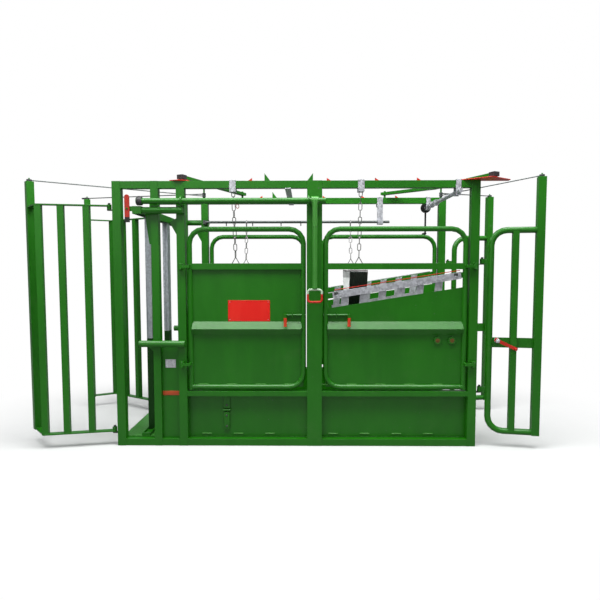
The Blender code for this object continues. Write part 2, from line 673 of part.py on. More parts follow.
def slat_bar(side, name):
    """Galvanised sloping bar bolted outside the rear door's own sloping rail."""
    y = mid_y(side) + side * (RACK_BACKING / 2 + GAP)
    outer = y + side * RACK_BAR_DEPTH
    start = Vector((RACK_X, (y + outer) / 2, rack_height(RACK_X)))
    stop = Vector((RACK_X + RACK_LENGTH, (y + outer) / 2, rack_height(RACK_X + RACK_LENGTH)))
    pieces = [bar(start, stop, RACK_BAR_DEPTH, RACK_BAR)]
    for x in (RACK_X + 0.030, RACK_X + RACK_LENGTH - 0.045):
        pieces.append(rod((x, outer - side * 0.004, rack_height(x)), (x, outer + side * 0.008, rack_height(x)),
                          RACK_BOLT, 6))
    return fuse(name, GALVANISED, pieces)


def slat_rack(side, name):
    """Six galvanised slats on the inner side of the rear door, tied by a bar behind the sheet."""
    back = mid_y(side) - side * (0.004 + SHEET + GAP)
    inner = back - side * SLAT_DEPTH
    pieces = []
    for i in range(SLATS):
        x = RACK_X + SLAT_FIRST + i * SLAT_PITCH
        top = rack_height(x) + RACK_BAR * 0.3
        lean = -tan(SLOPE) * SLAT_DROP * 0.6
        outline = [(x - SLAT / 2, top - 0.005), (x + SLAT / 2, top + 0.005),
                   (x + SLAT / 2 + lean, top - SLAT_DROP), (x - SLAT / 2 + lean, top - SLAT_DROP)]
        pieces.append(plate(outline, SLAT_DEPTH, upright((back + inner) / 2)))
    first = RACK_X + SLAT_FIRST - 0.060
    last = RACK_X + SLAT_FIRST + (SLATS - 1) * SLAT_PITCH + 0.020
    tie = SLAT_DROP - 0.045
    pieces.append(bar((first, (back + inner) / 2, rack_height(first) - tie),
                      (last, (back + inner) / 2, rack_height(last) - tie), SLAT_DEPTH * 0.8, 0.040))
    return fuse(name, GALVANISED, pieces)


# End gates, their levers and rods


def gate_axis(end, side):
    return Vector((end * GATE_AXIS_X, mid_y(side), 0))


def swung(end, side, angle, distance):
    """Offset of a point a distance away, turned outward from the cage's side by an angle."""
    return Vector((end * distance * cos(radians(angle)), side * distance * sin(radians(angle)), 0))


def tall_post(end, side):
    """Middle of a gate's tall post, on plan."""
    if end < 0:
        angle = FRONT_OPEN[side]
        return gate_axis(end, side) + swung(end, side, angle, FRONT_LEAF) \
            + swung(end, side, angle - FRONT_BEND, FRONT_RETURN)
    return gate_axis(end, side) + swung(end, side, REAR_OPEN[side], REAR_LEAF)


def strip(points, width):
    """Outline of a flat strip of one width along points on plan, with mitred corners."""
    left, right = [], []
    for i, point in enumerate(points):
        before = (point - points[i - 1]).normalized() if i else (points[1] - point).normalized()
        after = (points[i + 1] - point).normalized() if i < len(points) - 1 else before
        across = Vector((-(before + after).y, (before + after).x, 0)).normalized()
        reach = width / 2 / across.dot(Vector((-before.y, before.x, 0)))
        left.append(point + across * reach)
        right.append(point - across * reach)
    return [(point.x, point.y) for point in left + right[::-1]]


def upright_bar(middle, size, z, angle):
    """A square upright bar turned about Z."""
    piece = box((-size / 2, size / 2), (-size / 2, size / 2), z)
    piece.data.transform(Matrix.Translation((middle.x, middle.y, 0)) @ Matrix.Rotation(radians(angle), 4, "Z"))
    return piece


def gate_knuckles(end, side):
    axis = gate_axis(end, side)
    half = GATE_KNUCKLE_LENGTH / 2
    barrels = [rod((axis.x, axis.y, z - half), (axis.x, axis.y, z + half), GATE_KNUCKLE, 12)
               for z in GATE_HINGES[end]]
    bores = [rod((axis.x, axis.y, z - half - 0.01), (axis.x, axis.y, z + half + 0.01), GATE_PIN + EASE, 12)
             for z in GATE_HINGES[end]]
    return barrels, bores


def post_and_pin(end, side, angle):
    middle = tall_post(end, side)
    post = upright_bar(middle, TALL_POST, TALL_POST_Z, angle)
    top = TALL_POST_Z[1]
    foot = Vector((middle.x, middle.y, top - 0.010))
    pin = rod(foot, foot + Vector((0, 0, ROD_EYE_THICK + EYE_LIFT + 0.022)), POST_PIN, 10)
    collar = rod(foot, foot + Vector((0, 0, EYE_LIFT + 0.010)), POST_PIN + 0.005, 12)
    return [post, pin, collar]


def front_gate(side, name):
    """A cranked leaf: two flat rails, three bars, and a tall post that its rod pulls."""
    angle = FRONT_OPEN[side]
    axis = gate_axis(-1, side)
    bend = axis + swung(-1, side, angle, FRONT_LEAF)
    post = tall_post(-1, side)
    barrels, bores = gate_knuckles(-1, side)
    pieces = barrels
    turn = -side * angle
    low, high = GATE_HINGES[-1]
    rails = (low - 0.010, high + 0.010)
    for z in rails:
        pieces.append(plate(strip((axis, bend, post), GATE_RAIL), GATE_RAIL_THICK, level(z)))
    for distance in (*FRONT_BARS, FRONT_LEAF):
        place = axis + swung(-1, side, angle, distance)
        pieces.append(upright_bar(place, GATE_BAR, (rails[0] - 0.003, rails[1] + 0.003), turn))
    pieces += post_and_pin(-1, side, turn + side * FRONT_BEND)
    return fuse(name, PAINT, pieces, bores, origin=axis)


def rear_gate(side, name):
    """A bent tube leaf with one bar, cross plates and a tall post."""
    angle = REAR_OPEN[side]
    axis = gate_axis(1, side)
    post = tall_post(1, side)
    barrels, bores = gate_knuckles(1, side)
    pieces = barrels
    turn = side * angle
    low, high = REAR_Z[0] + REAR_TUBE / 2, REAR_Z[1] - REAR_TUBE / 2

    def place(u, v):
        return tuple(axis + swung(1, side, angle, u) + Vector((0, 0, v)))

    corner = REAR_STILE + REAR_BEND
    points = [place(REAR_LEAF, high)]
    points += arc((corner, high - REAR_BEND), REAR_BEND, 90, 180, 5, place)
    points += arc((corner, low + REAR_BEND), REAR_BEND, 180, 270, 5, place)
    points.append(place(REAR_LEAF, low))
    pieces.append(pipe(points, REAR_TUBE / 2, 12))
    pieces.append(upright_bar(axis + swung(1, side, angle, REAR_BAR), GATE_BAR, (low, high), turn))
    pieces += post_and_pin(1, side, turn)
    for z in GATE_HINGES[1]:
        lift = Vector((0, 0, z))
        pieces.append(bar(axis + lift, axis + swung(1, side, angle, REAR_STILE) + lift, 0.014, 0.034))
    middle = sum(CROSS_PLATE_Z) / 2
    start = Vector(place(REAR_STILE, middle))
    stop = Vector(place(REAR_LEAF, middle))
    pieces.append(bar(start, stop, CROSS_PLATE, CROSS_PLATE_Z[1] - CROSS_PLATE_Z[0]))
    if side == NEAR:
        out = latch_out(side)
        at = latch_pivot(side)
        pieces.append(rod(at, at + out * LATCH_PIN_LENGTH, LATCH_PIN, 10))
    return fuse(name, PAINT, pieces, bores, origin=axis)


def latch_out(side):
    """Outward normal of a rear leaf."""
    return swung(1, side, REAR_OPEN[side] + 90, 1)


def latch_pivot(side):
    lift = Vector((0, 0, CROSS_PLATE_Z[1] - 0.020))
    return gate_axis(1, side) + swung(1, side, REAR_OPEN[side], REAR_STILE + REAR_TUBE / 2 + 0.030) + lift


def rear_latch(side, name):
    """Red hand latch that turns on a pin on the near rear gate."""
    along = swung(1, side, REAR_OPEN[side], 1)
    out = latch_out(side)
    at = latch_pivot(side) + out * LATCH_STANDOFF
    slope = along * cos(radians(LATCH_DROP)) - Vector((0, 0, sin(radians(LATCH_DROP))))
    length, tall, thick = LATCH_BAR
    pieces = [bar(at - slope * 0.020, at + slope * (length - 0.020), thick, tall),
              rod(at - out * thick, at + out * thick, tall * 0.62, 16)]
    knob = at + slope * (length - 0.035)
    pieces.append(rod(knob, knob + out * 0.030, 0.010, 10))
    cuts = [rod(at - out * 0.03, at + out * 0.03, LATCH_PIN + EASE, 12)]
    return fuse(name, RED, pieces, cuts, origin=at)


def lever(pivot_x, knee, handle, bolt, name):
    """A flat lever over both top rails, with a bolt on a lug for the gate rods."""
    pivot = Vector((pivot_x, mid_y(FAR), LEVER_Z))
    knee = Vector((*knee, LEVER_Z)) if knee else pivot
    tip = Vector((*handle, LEVER_Z))
    along = ((knee if knee != pivot else tip) - pivot).normalized()
    pieces = [bar(pivot - along * 0.032, knee if knee != pivot else tip, LEVER_WIDE, LEVER_TALL)]
    if knee != pivot:
        pieces.append(bar(knee, tip, LEVER_WIDE, LEVER_TALL - 0.001))
        skin = Vector((0, 0, LEVER_TALL / 2 - 0.0002))
        pieces.append(rod(knee - skin, knee + skin, LEVER_WIDE * 0.49, 18))
    share = (bolt[1] - knee.y) / (tip.y - knee.y)
    foot = knee.lerp(tip, share)
    low = LEVER_Z - LEVER_TALL / 2
    end = Vector((bolt[0], bolt[1], low + LUG / 2))
    foot.z = end.z
    pieces.append(bar(foot, end, 0.040, LUG, 0.016))
    pieces.append(rod((bolt[0], bolt[1], low + LUG / 2), (bolt[0], bolt[1], ROD_BOLT_Z + GAP), BOLT_PIN, 12))
    cuts = [rod(pivot - Vector((0, 0, 0.05)), pivot + Vector((0, 0, 0.05)), LEVER_PIN + EASE, 16)]
    return fuse(name, PAINT, pieces, cuts, origin=pivot)


def lever_cap(pivot_x, knee, handle, name):
    pivot = Vector((pivot_x, mid_y(FAR), LEVER_Z))
    tip = Vector((*handle, LEVER_Z))
    along = (tip - (Vector((*knee, LEVER_Z)) if knee else pivot)).normalized()
    start = tip + along * GAP
    return fuse(name, BLACK, [bar(start, start + along * CAP, CAP, CAP * 0.62)], origin=pivot)


def gate_rod(end, side, bolt, name):
    """A thin rod from a tall post's pin to a boss under the lever bolt, where the linkage is open."""
    post = tall_post(end, side)
    post.z = TALL_POST_Z[1] + EYE_LIFT + GAP + ROD_EYE_THICK / 2
    stack = ROD_BOLT_Z - EYE_STEP * (1 if side == NEAR else 0) - ROD_EYE_THICK / 2
    hook = Vector((bolt[0], bolt[1], stack))
    along = (hook - post).normalized()
    pieces = [rod(post + along * (ROD_EYE - 0.004), hook - along * 0.004, ROD, 8)]
    lift = Vector((0, 0, ROD_EYE_THICK / 2))
    for place, radius in ((post, ROD_EYE), (hook, ROD_BOSS)):
        pieces.append(rod(place - lift, place + lift, radius, 12))
    if side == NEAR:
        pieces.append(rod(hook, hook - lift * 2.2, ROD_BOSS * 0.8, 6))
    if end < 0 and side == FAR:
        pieces.append(bar(post - along * 0.070, post, 0.014, ROD_EYE_THICK))
    bore = rod(post - lift * 2, post + lift * 2, POST_PIN + EASE, 12)
    return fuse(name, STEEL, pieces, [bore], origin=post)


def guide_plate(span, reach, name):
    """Red plate flat on the near top rail under a lever, bowed outward."""
    middle = HEIGHT + GAP + GUIDE_PLATE / 2
    face, inner = face_y(NEAR), inner_y(NEAR) - 0.004
    bow = face + GUIDE_BOW
    outline = [(span[0], bow), ((span[0] + span[1]) / 2, face - reach), (span[1], bow), (span[1], inner),
               (span[0], inner)]
    return fuse(name, RED, [plate(outline, GUIDE_PLATE, level(middle))])


# Head bail: two sliding neck bars in cross tracks, worked by the shaft and hand lever


def track(z, reach, name, opening, extra=()):
    """A cross channel; opening is -1 where its slot faces down and 1 where it faces up."""
    outer = box((BAIL_X - TRACK / 2, BAIL_X + TRACK / 2), (-reach, reach), z)
    wall = TRACK_WALL
    slot_z = (z[0] - 0.01, z[1] - wall) if opening < 0 else (z[0] + wall, z[1] + 0.01)
    slot = box((BAIL_X - TRACK / 2 + wall, BAIL_X + TRACK / 2 - wall), (-reach + wall, reach - wall), slot_z)
    return fuse(name, PAINT, [outer, *extra], [slot])


def bail_tracks():
    y = -TRACK_REACH
    lug = box((LOCK_X - 0.022, BAIL_X - TRACK / 2 + 0.004), (y, y + LUG), (LOCK_Z - 0.020, LOCK_Z + 0.018))
    pin = rod((LOCK_X, y + LUG / 2, LOCK_Z), (LOCK_X, y - 0.020, LOCK_Z), LOCK_PIN, 10)
    track(TRACK_TOP, TRACK_REACH, "bail_top_track", -1, (lug, pin))
    track(TRACK_LOW, WIDTH / 2 - POST_DEPTH - GAP, "bail_bottom_track", 1)


def bail_leaf(side, name):
    """One upright neck bar, with its ends inside the tracks."""
    wide, deep = BAIL_LEAF
    middle = side * BAIL_REST
    body = box(post_span(BAIL_X, wide), (middle - deep / 2, middle + deep / 2), BAIL_Z)
    return fuse(name, GALVANISED, [body], origin=(BAIL_X, middle, 0))


def lock_lever():
    wide, tall, thick = LOCK_BAR
    y = -TRACK_REACH - 0.003 - thick / 2
    outline = [(LOCK_X - wide / 2, LOCK_Z - tall * 0.5), (LOCK_X + wide / 2, LOCK_Z - tall * 0.5),
               (LOCK_X + wide / 2, LOCK_Z + tall * 0.42)]
    outline += arc((LOCK_X, LOCK_Z + tall * 0.42), wide / 2, 0, 180, 6, lambda u, v: (u, v))[1:]
    cuts = [rod((LOCK_X, y - 0.03, LOCK_Z), (LOCK_X, y + 0.03, LOCK_Z), LOCK_PIN + EASE, 12)]
    return fuse("bail_lock_lever", RED, [plate(outline, thick, upright(y))], cuts, origin=(LOCK_X, y, LOCK_Z))


def operating_shaft():
    """Shaft in front of the near posts with a crank at its front end."""
    start, stop = SHAFT_X
    pieces = [rod((start, SHAFT_Y, SHAFT_Z), (stop, SHAFT_Y, SHAFT_Z), SHAFT, 16),
              rod((start + 0.004, SHAFT_Y, SHAFT_Z), (start - CRANK_HUB, SHAFT_Y, SHAFT_Z), SHAFT + 0.006, 16)]
    return fuse("operating_shaft", PAINT, pieces, origin=(0, SHAFT_Y, SHAFT_Z))


def hand_lever():
    """Hand lever hanging from a clamp round the shaft."""
    y = SHAFT_Y
    collar = rod((LEVER_X - LEVER_COLLAR, y, SHAFT_Z), (LEVER_X + LEVER_COLLAR, y, SHAFT_Z), SHAFT + 0.010, 16)
    stem_y = y - SHAFT - 0.006
    tube = rod((LEVER_X, stem_y, SHAFT_Z), (LEVER_X, stem_y, SHAFT_Z - LEVER_LENGTH), LEVER_TUBE, 12)
    ring_z = SHAFT_Z - LEVER_RING[0]
    ring = rod((LEVER_X, stem_y, ring_z), (LEVER_X, stem_y, ring_z - LEVER_RING[1]), LEVER_TUBE + 0.002, 12)
    bore = rod((LEVER_X - 0.05, y, SHAFT_Z), (LEVER_X + 0.05, y, SHAFT_Z), SHAFT + GAP, 16)
    return fuse("hand_lever", PAINT, [collar, tube, ring], [bore], origin=(LEVER_X, y, SHAFT_Z))


def lever_grip():
    """Bent wire handle under the hand lever."""
    y = SHAFT_Y - SHAFT - 0.006
    top = SHAFT_Z - LEVER_LENGTH - GAP - GRIP_WIRE
    low = top - GRIP_DROP
    bend = 0.022
    place = lambda u, v: (u, y, v)
    points = arc((LEVER_X + GRIP_HALF - bend, low + bend), bend, -90, 0, 4, place)
    points += arc((LEVER_X + GRIP_HALF - bend, top - bend), bend, 0, 90, 4, place)
    points += arc((LEVER_X - GRIP_HALF + bend, top - bend), bend, 90, 180, 4, place)
    points += arc((LEVER_X - GRIP_HALF + bend, low + bend), bend, 180, 270, 4, place)
    return fuse("hand_lever_grip", RED, [pipe(points, GRIP_WIRE, 8, closed=True)], origin=(LEVER_X, SHAFT_Y, SHAFT_Z))


# Base, floor and roof bar

def base_frame():
    """Cross members between the two side frames, tied by two lengthwise bars."""
    y = WIDTH / 2 - POST_DEPTH - GAP
    top = FLOOR_Z - FLOOR_PLATE - GAP
    first, last = -LENGTH / 2 + FLOOR_JOIST, LENGTH / 2 - FLOOR_JOIST
    pieces = []
    for i in range(JOISTS):
        x = first + (last - first) * i / (JOISTS - 1)
        pieces.append(box(post_span(x, FLOOR_JOIST), (-y, y), (0, top)))
    for side in (-1, 1):
        mid = side * WIDTH / 5
        pieces.append(box((first, last), (mid - FLOOR_JOIST / 2, mid + FLOOR_JOIST / 2), (0.002, top - 0.002)))
    return fuse("base_frame", PAINT, pieces)


def floor_plate():
    y = WIDTH / 2 - POST_DEPTH - GAP
    floor = box((FLOOR_FRONT_X, LENGTH / 2 - 0.006), (-y, y), (FLOOR_Z - FLOOR_PLATE, FLOOR_Z - GAP))
    return fuse("floor_plate", PAINT, [floor])


def roof_cross_bar():
    """Galvanised flat bar under both top rails."""
    z = HEIGHT - TOP_RAIL - GAP
    bar_z = (z - CROSS_BAR[1], z)
    return fuse("roof_cross_bar", GALVANISED, [box(post_span(CROSS_X, CROSS_BAR[0]), (-WIDTH / 2, WIDTH / 2), bar_z)])


# Belly belts on chains


def rail_hook(x, side, wide, drop):
    """An upside-down U over a top rail, with both legs reaching below it."""
    outer = face_y(side) - side * RAIL_INSET + side * (GAP + HANGER_WALL)
    inner = inner_y(side) + side * RAIL_INSET - side * (GAP + HANGER_WALL)
    top = HEIGHT - RAIL_INSET / 2 + GAP
    low = HEIGHT - TOP_RAIL - drop
    pieces = [box(post_span(x, wide), (outer, inner), (top, top + HANGER_WALL))]
    for edge, inward in ((outer, -side), (inner, side)):
        pieces.append(box(post_span(x, wide), (edge, edge + inward * HANGER_WALL), (low, top + HANGER_WALL / 2)))
    return pieces, outer, inner, low


def belt_hanger(x, name):
    """Bracket over the near top rail with a cross pin that holds a chain's top link."""
    pieces, outer, inner, low = rail_hook(x, NEAR, HANGER_WIDE, HANGER_DROP)
    z = low + 0.010
    pieces.append(rod((x, outer - NEAR * 0.002, z), (x, inner + NEAR * 0.002, z), HANGER_PIN, 8))
    return fuse(name, GALVANISED, pieces)


def link(top, bottom, turned):
    """One chain link as a closed loop between two points, turned about its own length."""
    top, bottom = Vector(top), Vector(bottom)
    along = (bottom - top).normalized()
    side = Matrix.Rotation(radians(turned), 3, along) @ Vector((1, 0, 0))
    half = CHAIN_LINK[1] / 2
    points = []
    for centre, turn in ((top + along * half, -1), (bottom - along * half, 1)):
        for step in range(3):
            angle = pi * step / 2
            points.append(centre + side * half * cos(angle) * -turn + along * half * sin(angle) * turn)
    return pipe([tuple(point) for point in points], CHAIN_WIRE, 4, closed=True)


def chain(top, bottom, spread, name, ring=None):
    """Links down to a two-legged sling on a belt's end bar; a ring, if any, goes round the rod.

    The chain is built from its own top, which is also its origin.
    """
    bottom = Vector(bottom) - Vector(top)
    along, length = bottom.normalized(), bottom.length
    count = round(length / (CHAIN_LINK[0] - 2 * CHAIN_WIRE))
    pitch = length / count
    pieces = []
    for i in range(count):
        start = along * (pitch * i - LINK_BITE)
        stop = along * (pitch * (i + 1) + LINK_BITE)
        pieces.append(link(start, stop, LINK_TURNS[i % 2]))
    if ring:
        last = 360 - 360 / RING_SIDES
        centre = (ring[0] - top[1], ring[1] - top[2])
        circle = arc(centre, RING, 0, last, RING_SIDES - 1, lambda u, v: (0, u, v))
        pieces.append(pipe(circle, CHAIN_WIRE, 6, closed=True))
    drop = Vector((0, 0, -SLING_DROP))
    for end in (-1, 1):
        foot = bottom + drop + Vector((end * spread, 0, 0))
        pieces.append(rod(bottom - along * 0.001, foot, CHAIN_WIRE, 6))
    low = bottom + drop
    pieces.append(rod(low - Vector((spread + 0.012, 0, 0)), low + Vector((spread + 0.012, 0, 0)), BELT_BAR, 8))
    made = fuse(name, STEEL, pieces)
    made.location = top
    return made


def belt_chains(x, prefix):
    pin_z = HEIGHT - TOP_RAIL - HANGER_DROP + 0.010
    near_top = (x, mid_y(NEAR), pin_z + HANGER_PIN + CHAIN_WIRE + LINK_BITE - 0.0012)
    bar_z = BELT_TOP + BELT_BAR + GAP
    near_low = (x, -BELT_Y, bar_z + SLING_DROP)
    far_low = (x, BELT_Y, bar_z + SLING_DROP)
    flat = RING * cos(pi / RING_SIDES)
    ring = (STRAP_ROD_Y, STRAP_ROD_Z + STRAP_ROD - GAP + CHAIN_WIRE - flat)
    far_top = (x, ring[0], ring[1] - flat)
    spread = BELT_WIDE / 2 - 0.012
    chain(near_top, near_low, spread, prefix + "_belt_near_chain")
    chain(far_top, far_low, spread, prefix + "_belt_far_chain", ring)


def belly_belt(x, name):
    """A ribbed belt hanging in a curve between its two end bars."""
    curve = []
    for i in range(BELT_STEPS + 1):
        t = -1 + 2 * i / BELT_STEPS
        curve.append((BELT_Y * t, BELT_TOP - BELT_SAG * (1 - abs(t) ** 2.6)))
    normals = []
    for i, (y, z) in enumerate(curve):
        before, after = curve[max(i - 1, 0)], curve[min(i + 1, BELT_STEPS)]
        run, rise = after[0] - before[0], after[1] - before[1]
        size = hypot(run, rise)
        normals.append((-rise / size, run / size))
    outline = [(y, z) for y, z in curve]
    outline += [(y - n[0] * BELT_THICK, z - n[1] * BELT_THICK)
                for (y, z), n in zip(reversed(curve), reversed(normals))]
    return fuse(name, RUBBER, [plate(outline, BELT_WIDE, crosswise(x))])


def strap_rod():
    """Dark rod along the far side that the belts' far chains hook on."""
    start, stop = STRAP_ROD_X
    pieces = [rod((start, STRAP_ROD_Y, STRAP_ROD_Z), (stop, STRAP_ROD_Y, STRAP_ROD_Z), STRAP_ROD, 12)]
    foot = box((start - STRAP_FOOT * 1.5, start + 0.004), (STRAP_ROD_Y - STRAP_FOOT / 2, inner_y(FAR) - GAP),
               (STRAP_ROD_Z - STRAP_FOOT, STRAP_ROD_Z + STRAP_FOOT))
    pieces.append(foot)
    for x in PEGS:
        pieces.append(rod((x, STRAP_ROD_Y, STRAP_ROD_Z), (x, STRAP_ROD_Y, STRAP_ROD_Z - PEG[1]), PEG[0], 8))
    return fuse("strap_rod", STEEL, pieces)


def rod_hanger():
    """Galvanised strap over the far top rail that carries the rod's rear end."""
    pieces, outer, inner, low = rail_hook(ROD_HANGER_X, FAR, 0.056, HANGER_DROP)
    z = STRAP_ROD_Z
    leg = (inner, inner + HANGER_WALL)
    pieces.append(box(post_span(ROD_HANGER_X, 0.056), leg, (z - STRAP_ROD - 0.014, low + 0.010)))
    pieces.append(box(post_span(ROD_HANGER_X, 0.052), (STRAP_ROD_Y - STRAP_ROD - 0.009, inner + HANGER_WALL / 2),
                      (z - STRAP_ROD - 0.012, z + STRAP_ROD + 0.009)))
    bore = rod((ROD_HANGER_X - 0.05, STRAP_ROD_Y, z), (ROD_HANGER_X + 0.05, STRAP_ROD_Y, z), STRAP_ROD + GAP, 12)
    return fuse("rod_hanger", GALVANISED, pieces, [bore])


# Lift shaft across the rear of the roof


def lift_bracket(side, name):
    pieces, outer, inner, low = rail_hook(LIFT_X, side, LIFT_WIDE, LIFT_LEG)
    bore = rod((LIFT_X, outer + side * 0.05, LIFT_Z), (LIFT_X, inner - side * 0.05, LIFT_Z), LIFT_SHAFT + EASE, 16)
    return fuse(name, GALVANISED, pieces, [bore])


def lift_shaft():
    """Cross shaft with two small hooks; it turns in the brackets."""
    pieces = [rod((LIFT_X, LIFT_REACH[0], LIFT_Z), (LIFT_X, LIFT_REACH[1], LIFT_Z), LIFT_SHAFT, 16)]
    for y in LIFT_HOOKS:
        pieces.append(rod((LIFT_X, y - 0.006, LIFT_Z), (LIFT_X, y + 0.006, LIFT_Z), LIFT_SHAFT + 0.012, 12))
    return fuse("lift_shaft", GALVANISED, pieces, origin=(LIFT_X, 0, LIFT_Z))


def lift_crank():
    """Black ratchet wheel and crank handle on the shaft's far end."""
    y = LIFT_REACH[1] - RATCHET_THICK - 0.004
    pieces = [rod((LIFT_X, y, LIFT_Z), (LIFT_X, y + RATCHET_THICK, LIFT_Z), RATCHET, 16)]
    arm_y = y + RATCHET_THICK - 0.004
    pieces.append(rod((LIFT_X, arm_y, LIFT_Z - 0.030), (LIFT_X, arm_y, LIFT_Z - CRANK_ARM), CRANK_ROD, 10))
    pieces.append(rod((LIFT_X, arm_y - 0.004, LIFT_Z - CRANK_ARM), (LIFT_X, arm_y + CRANK_GRIP, LIFT_Z - CRANK_ARM),
                      CRANK_ROD + 0.004, 10))
    bore = rod((LIFT_X, y - 0.05, LIFT_Z), (LIFT_X, y + 0.05, LIFT_Z), LIFT_SHAFT + GAP, 16)
    return fuse("lift_crank", BLACK, pieces, [bore], origin=(LIFT_X, 0, LIFT_Z))


# Small plates


def small_plate(name, look, at, size, back, side=NEAR):
    """A thin blank plate fixed on the outer side of a sheet."""
    y = back + side * GAP
    return fuse(name, look, [box(post_span(at[0], size[0]), (y, y + side * PLATE_THICK), post_span(at[1], size[1]))])


def build():
    base_frame()
    floor_plate()
    roof_cross_bar()
    for side, prefix in ((NEAR, "near"), (FAR, "far")):
        side_frame(side, prefix + "_side_frame")
        side_panels(side, prefix)
        side_door(FRONT_DOOR, side, prefix + "_front_door")
        side_door(REAR_DOOR, side, prefix + "_rear_door", rack=True)
        door_bolt(FRONT_DOOR, side, prefix + "_front_door_bolt", BOLT_SHOW[0])
        door_bolt(REAR_DOOR, side, prefix + "_rear_door_bolt", BOLT_SHOW[1])
        slat_bar(side, prefix + "_slat_bar")
        slat_rack(side, prefix + "_slat_rack")
        bail_leaf(side, prefix + "_bail_leaf")
        front_gate(side, prefix + "_front_gate")
        rear_gate(side, prefix + "_rear_gate")
        gate_rod(-1, side, FRONT_BOLT, prefix + "_front_gate_rod")
        gate_rod(1, side, REAR_BOLT, prefix + "_rear_gate_rod")
        lift_bracket(side, prefix + "_lift_bracket")
    bail_tracks()
    lock_lever()
    operating_shaft()
    hand_lever()
    lever_grip()
    rear_latch(NEAR, "rear_gate_latch")
    lever(FRONT_PIVOT, None, FRONT_HANDLE, FRONT_BOLT, "front_gate_lever")
    lever(REAR_PIVOT, REAR_KNEE, REAR_HANDLE, REAR_BOLT, "rear_gate_lever")
    lever_cap(FRONT_PIVOT, None, FRONT_HANDLE, "front_lever_cap")
    lever_cap(REAR_PIVOT, REAR_KNEE, REAR_HANDLE, "rear_lever_cap")
    guide_plate(FRONT_GUIDE, GUIDE_REACH[0], "front_guide_plate")
    guide_plate(REAR_GUIDE, GUIDE_REACH[1], "rear_guide_plate")
    for place, x in BELTS.items():
        belt_hanger(x, place + "_belt_hanger")
        belt_chains(x, place)
        belly_belt(x, place + "_belly_belt")
    strap_rod()
    rod_hanger()
    lift_shaft()
    lift_crank()
    sheet_front = mid_y(NEAR) - NEAR * 0.004
    small_plate("sign_plate", RED, SIGN_AT, SIGN, sheet_front)
    panel_front = NEAR * (WIDTH / 2 - PANEL_BACK)
    small_plate("data_plate", WHITE, DATA_AT, DATA_PLATE, panel_front)


build()
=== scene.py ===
"""Looks of the cattle crush: paint, galvanising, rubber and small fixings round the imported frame."""
import json
from math import cos, pi, radians, sin, tan

import bmesh
import bpy
from mathutils import Matrix, Vector

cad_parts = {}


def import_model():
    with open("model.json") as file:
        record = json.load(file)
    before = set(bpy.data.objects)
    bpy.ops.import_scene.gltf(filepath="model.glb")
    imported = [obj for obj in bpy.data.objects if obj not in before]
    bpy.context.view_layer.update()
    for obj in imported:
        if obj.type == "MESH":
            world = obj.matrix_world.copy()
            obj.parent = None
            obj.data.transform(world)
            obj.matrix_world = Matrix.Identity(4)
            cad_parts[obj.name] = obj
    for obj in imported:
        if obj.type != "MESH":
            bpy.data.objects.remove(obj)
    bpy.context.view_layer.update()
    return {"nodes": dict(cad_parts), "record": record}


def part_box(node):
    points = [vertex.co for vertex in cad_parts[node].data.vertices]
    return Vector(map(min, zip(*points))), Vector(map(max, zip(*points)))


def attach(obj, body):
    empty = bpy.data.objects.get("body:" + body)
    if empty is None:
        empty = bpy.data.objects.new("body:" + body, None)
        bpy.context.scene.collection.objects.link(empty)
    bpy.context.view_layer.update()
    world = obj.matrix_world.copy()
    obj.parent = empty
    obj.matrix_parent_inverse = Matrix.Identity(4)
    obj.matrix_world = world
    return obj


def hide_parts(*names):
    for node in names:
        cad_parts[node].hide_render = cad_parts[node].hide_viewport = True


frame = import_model()
nodes = frame["nodes"]
scene = bpy.context.scene

# Height, half length and width of the cage, in metres
HEIGHT, END, WIDTH = 2.15, 1.465, 1.00


# Camera and light

FILM_WIDTH, CLIP_END = 36, 100


def look(place, yaw, pitch, roll, lens):
    """Adds the camera; the angles are in radians and the lens in millimetres."""
    camera = bpy.data.objects.new("camera", bpy.data.cameras.new("camera"))
    scene.collection.objects.link(camera)
    turn = Matrix.Rotation(yaw, 3, "Z") @ Matrix.Rotation(pitch, 3, "X") @ Matrix.Rotation(roll, 3, "Y")
    right, forward, up = turn.col[0], turn.col[1], turn.col[2]
    pose = Matrix((right, up, -forward)).transposed().to_4x4()
    pose.translation = place
    camera.matrix_world = pose
    camera.data.sensor_width = FILM_WIDTH
    camera.data.lens = lens
    camera.data.clip_end = CLIP_END
    scene.camera = camera


def lamp(name, place, target, size, power):
    """A rectangular area lamp turned towards a target."""
    light = bpy.data.lights.new(name, "AREA")
    light.energy = power
    light.shape = "RECTANGLE"
    light.size, light.size_y = size
    holder = bpy.data.objects.new(name, light)
    scene.collection.objects.link(holder)
    holder.location = place
    holder.rotation_euler = (Vector(target) - Vector(place)).to_track_quat("-Z", "Y").to_euler()


look(place=(0.0763, -4.3876, 1.4494), yaw=0.0105, pitch=-0.0641, roll=0.0012, lens=29.04)
scene.view_settings.view_transform = "Standard"
lamp("overhead", place=(0.2, -1.5, 5.4), target=(0, 0, 0.9), size=(7.5, 2.6), power=585)
lamp("front_fill", place=(-2.6, -6.5, 3.2), target=(0, 0, 1.0), size=(4, 3), power=32)


# Backdrop

WHITE = (1, 1, 1, 1)
SKY_STRENGTH = 0.56
SKY_BAND = (0.45, 0.85)             # share of the way up, from the dim low sky to the bright top
FLOOR_HALF, FLOOR_DROP = 30, 0.001
FLOOR_FADE = (1.3, 2.7)             # distances over which the floor turns white
FLOOR_OVAL = (0.75, 1.0, 0.0)       # weights of x, y and z in those distances
FLOOR_BOUNCE = 0.42                 # share of its colour that the floor keeps for bounced light


def new_tree(owner):
    """The empty node tree of a material or world."""
    owner.use_nodes = True
    tree = owner.node_tree
    tree.nodes.clear()
    return tree


